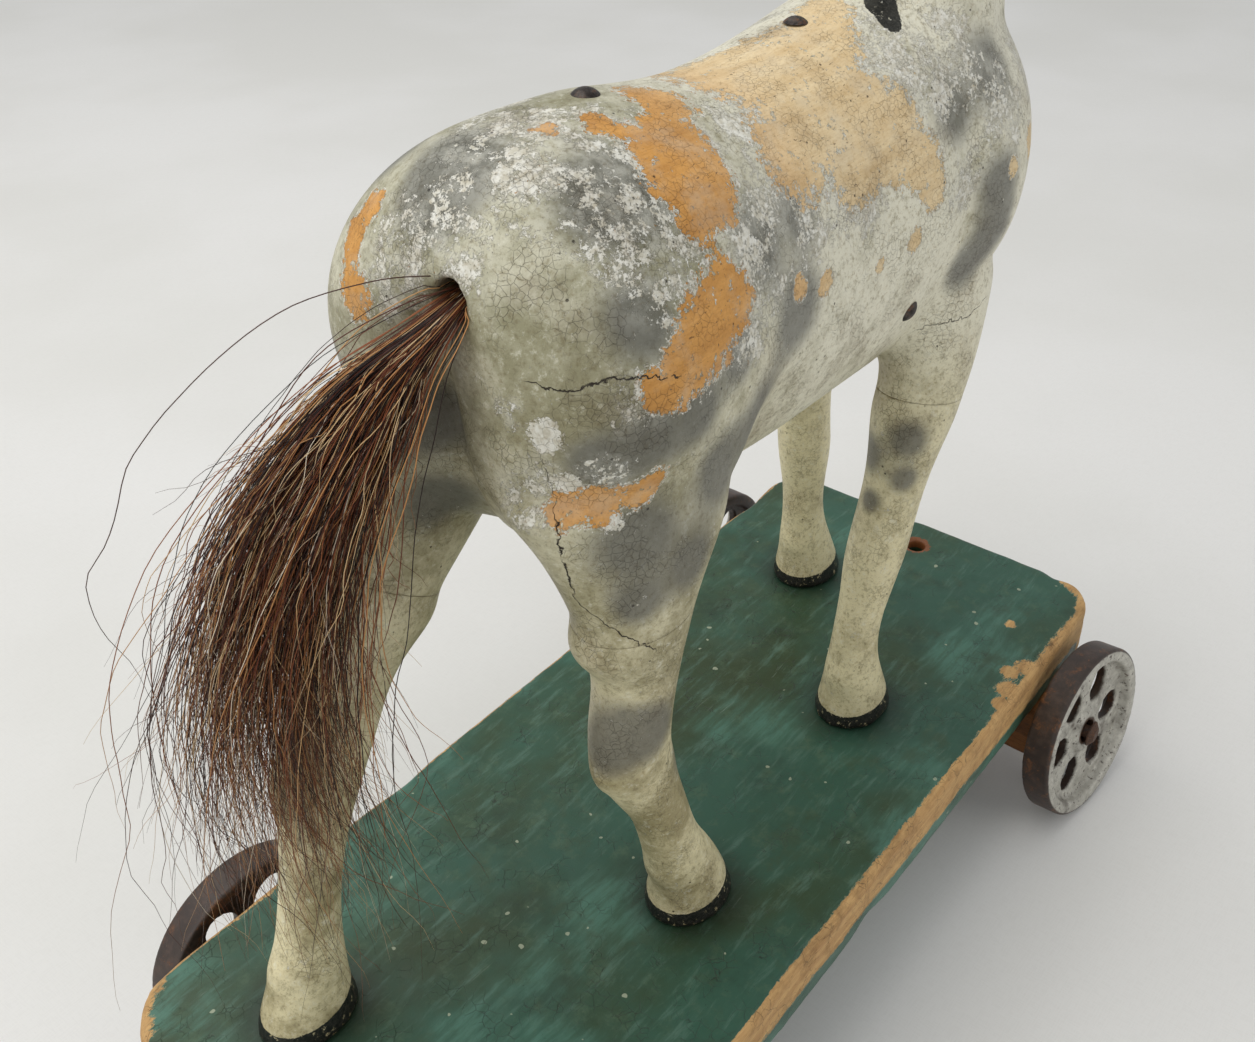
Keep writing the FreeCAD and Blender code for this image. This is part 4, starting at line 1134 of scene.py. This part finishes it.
def grow_hairs(name, count, wide, usual, spread, dice, locks):
    """Paths of one bunch. Each hair is a place across and in depth that drifts on its way down."""
    share = np.linspace(0, 1, HAIR_STEPS)
    angle, radius = dice.uniform(0, 2 * np.pi, count), np.sqrt(dice.random(count))
    own = np.stack([np.cos(angle) * radius, np.sin(angle) * radius], 1)
    if name == "tail_left":
        own[:, 0] = -np.abs(own[:, 0])
    if name == "tail_right":
        own[:, 0] = np.abs(own[:, 0])
    if name == "tail_front":
        own[:, 1] = np.abs(own[:, 1])
    nearest = np.argmin(((own[:, None] - locks[None]) ** 2).sum(2), axis=1)
    pull = np.clip((share - LOCK_START) * 1.3, 0, LOCK_PULL)[None, :, None]
    drift = own[:, None] * (1 - pull) + locks[nearest][:, None] * pull
    crossing = dice.normal(0, 0.24, (count, 1, 2)) * (share[None, :, None] - 0.15) * 1.6
    sway = np.stack([kinks(dice, count, HAIR_STEPS, 4), kinks(dice, count, HAIR_STEPS, 4)], 2) * 0.20
    drift = (drift + crossing + sway * share[None, :, None]) * wide
    length = np.clip(dice.normal(usual, spread, count), 0.4, 1.0)
    along = share[None] * length[:, None]
    line = spline([(*place, width, depth) for place, width, depth in TAIL_LINE], along.ravel())
    line = line.reshape(count, HAIR_STEPS, 5)
    depth_way = np.cross(TAIL_ACROSS, (0, 0, 1.0))
    paths = line[..., :3] + TAIL_ACROSS * (drift[..., :1] * line[..., 3:4])
    paths = paths - depth_way * (drift[..., 1:] * line[..., 4:])
    fine = np.stack([kinks(dice, count, HAIR_STEPS, 9) for _ in range(3)], 2)
    crimp = np.stack([kinks(dice, count, HAIR_STEPS, 20) for _ in range(3)], 2)
    open_end = np.stack([kinks(dice, count, HAIR_STEPS, 3) for _ in range(3)], 2)
    loose = np.clip(share * 1.3 - 0.35, 0, 1)[None, :, None]
    splay = 11 if name == "tail_strays" else 7.0
    paths += (fine * 1.15 + crimp * 0.6) * loose + open_end * splay * loose ** 2.5
    if name == "tail_strays":
        away = dice.normal(0, 1, (count, 1, 2)) * share[None, :, None] ** 0.8
        paths += TAIL_ACROSS * away[..., :1] * 13 - depth_way * away[..., 1:] * 7
        paths[..., 2] += (np.sin(share * 2.6) * 18)[None] * (dice.random(count) ** 4)[:, None]
    return paths


ROOT_STEPS, SKIN_SEARCH = 5, 9.0  # steps of a hair still in the hole, and how far away the skin is looked for


def keep_off(paths, bodies, gap):
    """Lift points that fell inside the carving back onto it."""
    for body in bodies:
        corners, faces = [v.co for v in body.data.vertices], [p.vertices for p in body.data.polygons]
        tree = bvhtree.BVHTree.FromPolygons(corners, faces)
        flat = paths.reshape(-1, 3)
        for number in range(len(flat)):
            if number % HAIR_STEPS < ROOT_STEPS:
                continue
            point = Vector(flat[number] * MM)
            place, normal, _face, _away = tree.find_nearest(point, SKIN_SEARCH * MM)
            if place is not None and ((point - place).dot(normal) < gap * MM):
                flat[number] = np.array(place + normal * gap * MM) / MM
    return paths


dice = np.random.default_rng(TAIL_SEED)
angle, radius = dice.uniform(0, 2 * np.pi, LOCKS), np.sqrt(dice.random(LOCKS))
locks = np.stack([np.cos(angle) * radius, np.sin(angle) * radius], 1)
tail_pieces = []
for name, count, wide, usual, spread in TAIL_PIECES:
    paths = grow_hairs(name, count, wide, usual, spread, dice, locks)
    paths = keep_off(paths, (carved["horse_body"], carved["rear_left_leg"]), HAIR_GAP)
    radii = HAIR_RADIUS * dice.uniform(0.75, 1.3, count)
    tail = tubes(name, paths, radii, dice.random(count))
    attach(tail, "platform")
    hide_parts("tail_hair")
    tail_pieces.append(tail)
    print(name, count, "hairs,", len(tail.data.polygons), "faces, low", round(float(paths[..., 2].min())), "mm")

# %% [markdown]
# The board's green paint is darker in its hollows and chalky where it is rubbed. Long pale scuffs follow the
# plank. At the edges the wood is bare, dark and greasy, with splinters of paint left in it.

# %% The board's paint
def make_board_paint():
    finish, wires, skin = new_material("worn_green_paint", specular=0.4)
    place = wires.place()
    hollow = wires.hollow()
    long_way = wires.vector("MULTIPLY", wires.shaken(place, 40.0, 3.0), (0.16, 1.0, 1.0))
    clouds = wires.noise(place, 34.0, 6.0, 0.62)
    streaks = wires.noise(long_way, 3.2, 6.0, 0.7)
    fine = wires.noise(place, 0.8, 4.0, 0.7)
    mottle = wires.noise(place, 7.0, 6.0, 0.7)
    tone = wires.times_plus(wires.map("shade_map"), 0.35, wires.times(clouds, 0.75))
    colour = wires.mix(wires.step(tone, 0.34, 0.7), (0.030, 0.052, 0.017), (0.029, 0.092, 0.060))
    colour = wires.mix(wires.step(mottle, 0.5, 0.75, 0.0, 0.6), colour, (0.085, 0.14, 0.080))
    colour = wires.mix(wires.step(streaks, 0.50, 0.72, 0.0, 0.6), colour, (0.10, 0.19, 0.145))
    rubbed_zone = wires.step(wires.noise(place, 60.0, 3.0), 0.50, 0.62)
    rubbed_zone = wires.times(rubbed_zone, wires.step(streaks, 0.36, 0.60, 0.25, 0.9))
    colour = wires.mix(rubbed_zone, colour, (0.072, 0.185, 0.135))
    dull = wires.step(wires.noise(place, 16.0, 5.0, 0.7), 0.52, 0.7, 0.0, 0.5)
    colour = wires.mix(dull, colour, (0.042, 0.068, 0.030))

    scuffs = wires.noise(wires.vector("MULTIPLY", long_way, (0.35, 1.0, 1.0)), 1.3, 5.0, 0.75)
    scuff_zone = wires.step(wires.noise(place, 24.0, 3.0), 0.46, 0.66)
    scuff = wires.times(wires.step(scuffs, 0.6, 0.74), scuff_zone)
    colour = wires.mix(wires.times(scuff, 0.55), colour, (0.26, 0.33, 0.27))
    specks = wires.cells(wires.shaken(place, 3.0, 1.0), 5.5)
    size = wires.step(wires.pick(specks), 0.72, 1.0, 0.0, 0.13)
    speck = wires.step(wires.math("SUBTRACT", specks.outputs["Distance"], size), 0.0, 0.02, 1.0, 0.0)
    speck = wires.times(speck, wires.step(size, 0.005, 0.02))
    colour = wires.mix(wires.times(speck, 0.7), colour, (0.42, 0.46, 0.33))
    dark_pits = wires.group(
        SPECKLE, Place=wires.vector("ADD", place, (4, 4, 1)), Size=1.3, Amount=0.1).outputs[0]
    colour = wires.mix(wires.times(dark_pits, 0.7), colour, (0.012, 0.02, 0.012))
    craze = wires.group(CRAZE, Place=place, Size=3.6, Width=0.12, Amount=0.45).outputs[0]

    bare = wires.group(RAGGED, Place=wires.vector("MULTIPLY", place, (0.45, 1, 1)), Map=wires.map("bare"),
                       Size=6.0, Rag=1.3, Rim_Width=0.12)
    wood = wires.group(WOOD, Place=place, Stretch=(0.07, 1.0, 1.0), Pores=0.75,
                       Light=(0.70, 0.455, 0.19), Dark=(0.36, 0.18, 0.062))
    rubbed = wires.mix(wires.step(mottle, 0.46, 0.72, 0.0, 0.5), wood.outputs["Colour"], (0.14, 0.066, 0.025))
    colour = wires.mix(wires.times(bare.outputs["Rim"], 0.55), colour, (0.30, 0.31, 0.19))
    colour = wires.mix(bare.outputs["Inside"], colour, rubbed)
    stain = wires.group(RAGGED, Place=place, Map=wires.map("stained"), Size=4.0, Rag=0.6, Rim_Width=0.1)
    rust = wires.group(RUST, Place=place, Size=3.0, Amount=0.8)
    rusty = wires.mix(0.6, rust.outputs["Colour"], (0.30, 0.10, 0.028))
    colour = wires.mix(stain.outputs["Inside"], colour, rusty)
    darkening = wires.group(GRIME, Place=place, Hollow=hollow, Size=20.0, Amount=0.5).outputs[0]
    # The board is painted darker round each foot.
    feet = wires.step(wires.times_plus(mottle, 0.5, wires.map("darker_round_feet")), 0.45, 1.25, 0.0, 0.8)
    darkening = wires.most(darkening, feet)
    colour = wires.mix(darkening, colour, wires.mix(0.8, colour, (0.16, 0.14, 0.09), "MULTIPLY"))
    wires.put(skin["Base Color"], wires.mix(wires.times(craze, 0.6), colour, (0.014, 0.016, 0.010)))

    left = wires.left_of(bare.outputs["Inside"])
    height = wires.times_plus(streaks, 0.6, left)
    height = wires.times_plus(wires.times(wood.outputs["Height"], bare.outputs["Inside"]), 0.7, height)
    height = wires.times_plus(craze, -0.5, height)
    normal = wires.bump(wires.times_plus(fine, 0.2, height), 0.22, 0.8)
    wires.put(skin["Normal"], normal)
    rough = wires.times_plus(bare.outputs["Inside"], 0.25, wires.times_plus(mottle, 0.3, 0.30))
    wires.put(skin["Roughness"], wires.times_plus(scuff, 0.15, rough))
    return finish


BOARD_PAINT = make_board_paint()
dress(board, BOARD_PAINT)
print("board paint:", len(BOARD_PAINT.node_tree.nodes), "nodes")

# %% [markdown]
# Iron comes in three ages here. The wheels keep a silvery coat on their faces, worn to dark metal on the tread.
# Axles, washers and screws are plain rusty iron. The upholstery nails are blackened iron.

# %% Iron, wood, leather, glass and hair
def make_wheel_iron():
    finish, wires, skin = new_material("silvered_cast_iron", specular=0.5)
    place = wires.place()
    hollow = wires.hollow()
    mottle = wires.noise(place, 4.0, 6.0, 0.7)
    fine = wires.noise(place, 0.7, 4.0, 0.7)
    silver = wires.mix(wires.step(mottle, 0.35, 0.7), (0.40, 0.385, 0.335), (0.58, 0.565, 0.50))
    silver = wires.mix(wires.step(fine, 0.5, 0.75, 0.0, 0.45), silver, (0.21, 0.18, 0.135))
    rust = wires.group(RUST, Place=place, Size=5.0, Amount=0.45)
    dark = wires.mix(wires.step(mottle, 0.4, 0.75), (0.030, 0.018, 0.013), (0.075, 0.045, 0.032))
    dark = wires.mix(rust.outputs["Mask"], dark, rust.outputs["Colour"])
    worn = wires.times_plus(wires.centred(mottle), 0.9, wires.map("outer"))
    coat = wires.times(wires.step(worn, 0.35, 0.6), wires.step(wires.map("tread"), 0.2, 0.7, 1.0, 0.0))
    chips = wires.group(SPECKLE, Place=place, Size=1.7, Amount=0.42).outputs[0]
    coat = wires.times(coat, wires.left_of(wires.times(chips, 0.85)))
    hub = wires.step(wires.times_plus(wires.centred(mottle), 0.8, wires.map("hub")), 0.35, 0.7)
    coat = wires.times(coat, wires.left_of(wires.times(hub, 0.85)))
    colour = wires.mix(coat, dark, silver)
    rusty = wires.mix(0.5, rust.outputs["Colour"], (0.12, 0.06, 0.03))
    colour = wires.mix(wires.times(hub, 0.8), colour, rusty)
    darkening = wires.group(GRIME, Place=place, Hollow=hollow, Size=9.0, Amount=0.75).outputs[0]
    wires.put(skin["Base Color"], wires.mix(darkening, colour, (0.045, 0.028, 0.018)))
    height = wires.times_plus(rust.outputs["Height"], 0.6, wires.times_plus(fine, 0.3, coat))
    wires.put(skin["Normal"], wires.bump(height, 0.18, 0.8))
    wires.put(skin["Metallic"], wires.times(coat, 0.35))
    wires.put(skin["Roughness"], wires.times_plus(mottle, 0.25, 0.36))
    return finish


def make_old_iron(name, rust_amount, dark, light, size):
    """Dark iron with rust and paler patches; also used for the nails."""
    finish, wires, skin = new_material(name, specular=0.5)
    place = wires.place()
    wear = wires.noise(place, size, 5.0, 0.65)
    fine = wires.noise(place, size * 0.2, 4.0, 0.7)
    rust = wires.group(RUST, Place=place, Size=size, Amount=rust_amount)
    colour = wires.mix(wires.step(wear, 0.4, 0.75), dark, light)
    wires.put(skin["Base Color"], wires.mix(rust.outputs["Mask"], colour, rust.outputs["Colour"]))
    wires.put(skin["Metallic"], wires.step(rust.outputs["Mask"], 0.1, 0.9, 0.75, 0.05))
    wires.put(skin["Roughness"], wires.times_plus(fine, 0.3, wires.times_plus(rust.outputs["Mask"], 0.25, 0.3)))
    wires.put(skin["Normal"], wires.bump(wires.plus(rust.outputs["Height"], fine), 0.14, 0.7))
    return finish


def make_old_wood(name, stretch, light, dark, pores, stain):
    """Unpainted wood: fibres, pores, a few chips, and dirt that has sunk in."""
    finish, wires, skin = new_material(name, specular=0.3)
    place = wires.place()
    hollow = wires.hollow()
    wood = wires.group(WOOD, Place=place, Stretch=stretch, Light=light, Dark=dark, Pores=pores)
    darkening = wires.group(GRIME, Place=place, Hollow=hollow, Size=9.0, Amount=0.7).outputs[0]
    chipped = wires.group(SPECKLE, Place=place, Size=2.2, Amount=0.2).outputs[0]
    colour = wires.mix(wires.times(chipped, 0.5), wood.outputs["Colour"], light)
    wires.put(skin["Base Color"], wires.mix(darkening, colour, stain))
    wires.put(skin["Normal"], wires.bump(wood.outputs["Height"], 0.2, 0.8))
    wires.put(skin["Roughness"], wires.times_plus(wood.outputs["Height"], 0.25, 0.45))
    return finish


def make_ear_leather():
    finish, wires, skin = new_material("cracked_ear_leather", specular=0.35)
    place = wires.place()
    pebble = wires.cells(wires.shaken(place, 1.5, 0.3), 0.8).outputs["Distance"]
    tone = wires.noise(place, 6.0, 5.0, 0.6)
    craze = wires.group(CRAZE, Place=place, Size=1.6, Width=0.1, Amount=0.6).outputs[0]
    colour = wires.mix(wires.step(tone, 0.35, 0.7), (0.11, 0.075, 0.045), (0.26, 0.21, 0.15))
    wires.put(skin["Base Color"], wires.mix(craze, colour, (0.035, 0.022, 0.014)))
    wires.put(skin["Normal"], wires.bump(wires.times_plus(craze, -0.8, pebble), 0.12, 0.7))
    wires.put(skin["Roughness"], wires.times_plus(tone, 0.3, 0.4))
    return finish


eye_low, eye_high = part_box("eye_left")
EYE_MIDDLE = tuple(round(float(value), 2) for value in (eye_low + eye_high) / 2 / MM)
PUPIL_RADIUS, PUPIL_BLUR = 1.7, 0.2


def make_eye_glass():
    """A glass eye seen from its side: a dark pupil in a brown iris under a clear, slightly scratched dome."""
    finish, wires, skin = new_material("brown_eye_glass", specular=0.6)
    place = wires.place()
    scratch = wires.noise(wires.vector("MULTIPLY", place, (0.3, 1, 1)), 0.4, 4.0, 0.7)
    fibres = wires.noise(place, 0.9, 4.0, 0.7)
    colour = wires.mix(wires.step(fibres, 0.4, 0.7), (0.035, 0.014, 0.006), (0.11, 0.045, 0.016))
    middle = wires.vector("MULTIPLY", wires.vector("SUBTRACT", place, EYE_MIDDLE), (1, 0, 1))
    off_middle = wires.node("ShaderNodeVectorMath", operation="LENGTH")
    wires.put(off_middle.inputs[0], middle)
    pupil = wires.step(
        off_middle.outputs["Value"], PUPIL_RADIUS - PUPIL_BLUR, PUPIL_RADIUS + PUPIL_BLUR, 1.0, 0.0)
    wires.put(skin["Base Color"], wires.mix(pupil, colour, (0.004, 0.003, 0.003)))
    wires.put(skin["Roughness"], wires.step(scratch, 0.5, 0.8, 0.06, 0.3))
    skin["Coat Weight"].default_value = 0.8
    wires.put(skin["Normal"], wires.bump(scratch, 0.02, 0.3))
    return finish


def make_hair():
    finish, wires, skin = new_material("horse_hair", specular=0.35)
    place = wires.place()
    shade, along = wires.map("shade"), wires.map("along")
    streak = wires.noise(place, 7.0, 3.0, 0.6)
    ramp = wires.node("ShaderNodeValToRGB")
    wires.put(ramp.inputs[0], wires.times_plus(wires.centred(streak), 0.10, shade))
    stops = ((0.0, (0.008, 0.004, 0.003)), (0.25, (0.026, 0.008, 0.005)), (0.42, (0.12, 0.028, 0.011)),
             (0.60, (0.27, 0.082, 0.028)), (0.77, (0.50, 0.25, 0.085)), (0.90, (0.74, 0.52, 0.27)),
             (1.0, (0.88, 0.79, 0.64)))
    elements = ramp.color_ramp.elements
    for number, (at, colour) in enumerate(stops):
        element = elements[number] if number < 2 else elements.new(at)
        element.position, element.color = at, (*colour, 1)
    tip = wires.step(along, 0.55, 1.0, 0.0, 0.35)
    colour = wires.mix(tip, ramp.outputs["Color"], (0.115, 0.045, 0.020))
    # Painted shade: the hairs are near black at their roots, which sit in the hole.
    colour = wires.mix(wires.step(along, 0.02, 0.11, 0.92, 0.0), colour, (0.006, 0.004, 0.003))
    wires.put(skin["Base Color"], colour)
    wires.put(skin["Roughness"], wires.times_plus(streak, 0.2, 0.24))
    wires.put(skin["Normal"], wires.bump(wires.noise(place, 0.3, 2.0, 0.6), 0.02, 0.35))
    return finish


def make_cloth():
    """Pale cotton sheet laid flat: a plain weave, and broad soft unevenness in its tone."""
    finish, wires, skin = new_material("pale_cotton", roughness=0.9, specular=0.1)
    place = wires.place()
    weave = wires.times(wires.noise(wires.vector("MULTIPLY", place, (0.1, 1, 1)), 0.5, 2.0),
                       wires.noise(wires.vector("MULTIPLY", place, (1, 0.1, 1)), 0.5, 2.0))
    tone = wires.noise(place, 260.0, 4.0, 0.5)
    colour = wires.mix(wires.step(tone, 0.35, 0.65), (0.74, 0.735, 0.705), (0.79, 0.785, 0.765))
    threads = wires.step(weave, 0.2, 0.35, 0.0, 0.12)
    wires.put(skin["Base Color"], wires.mix(threads, colour, (0.62, 0.61, 0.58)))
    wires.put(skin["Normal"], wires.bump(weave, 0.1, 0.4))
    return finish


WHEEL_IRON = make_wheel_iron()
AXLE_IRON = make_old_iron("rusty_iron", 0.75, (0.05, 0.035, 0.028), (0.15, 0.12, 0.10), 3.0)
NAIL_IRON = make_old_iron("blackened_nail", 0.42, (0.028, 0.022, 0.02), (0.14, 0.12, 0.105), 2.2)
BLOCK_WOOD = make_old_wood(
    "stained_block", (1.0, 0.07, 1.0), (0.34, 0.135, 0.035), (0.085, 0.026, 0.007), 0.8, (0.03, 0.014, 0.006))
PEG_WOOD = make_old_wood(
    "peg_wood", (1.0, 1.0, 0.08), (0.55, 0.38, 0.2), (0.36, 0.2, 0.08), 0.6, (0.12, 0.07, 0.03))
EAR_LEATHER, EYE_GLASS, HAIR, CLOTH = make_ear_leather(), make_eye_glass(), make_hair(), make_cloth()

for wheel in wheels.values():
    dress(wheel, WHEEL_IRON)
for block in blocks:
    dress(block, BLOCK_WOOD)
for ear in ears:
    dress(ear, EAR_LEATHER)
for tail in tail_pieces:
    dress(tail, HAIR)
dress(floor, CLOTH)
NODE_FINISHES = {
    "front_axle": AXLE_IRON, "rear_axle": AXLE_IRON, "axle_washers": AXLE_IRON, "block_screws": AXLE_IRON,
    "croup_nail": NAIL_IRON, "withers_nail": NAIL_IRON, "side_nail_left": NAIL_IRON, "side_nail_right": NAIL_IRON,
    "leg_dowels": PEG_WOOD, "foot_dowels": PEG_WOOD, "neck_dowel": PEG_WOOD, "tail_plug": PEG_WOOD,
    "eye_left": EYE_GLASS, "eye_right": EYE_GLASS,
}
for node, finish in NODE_FINISHES.items():
    for slot in NODES[node].material_slots:
        slot.material = finish
print("finishes:", sorted(finish.name for finish in bpy.data.materials if finish.users))
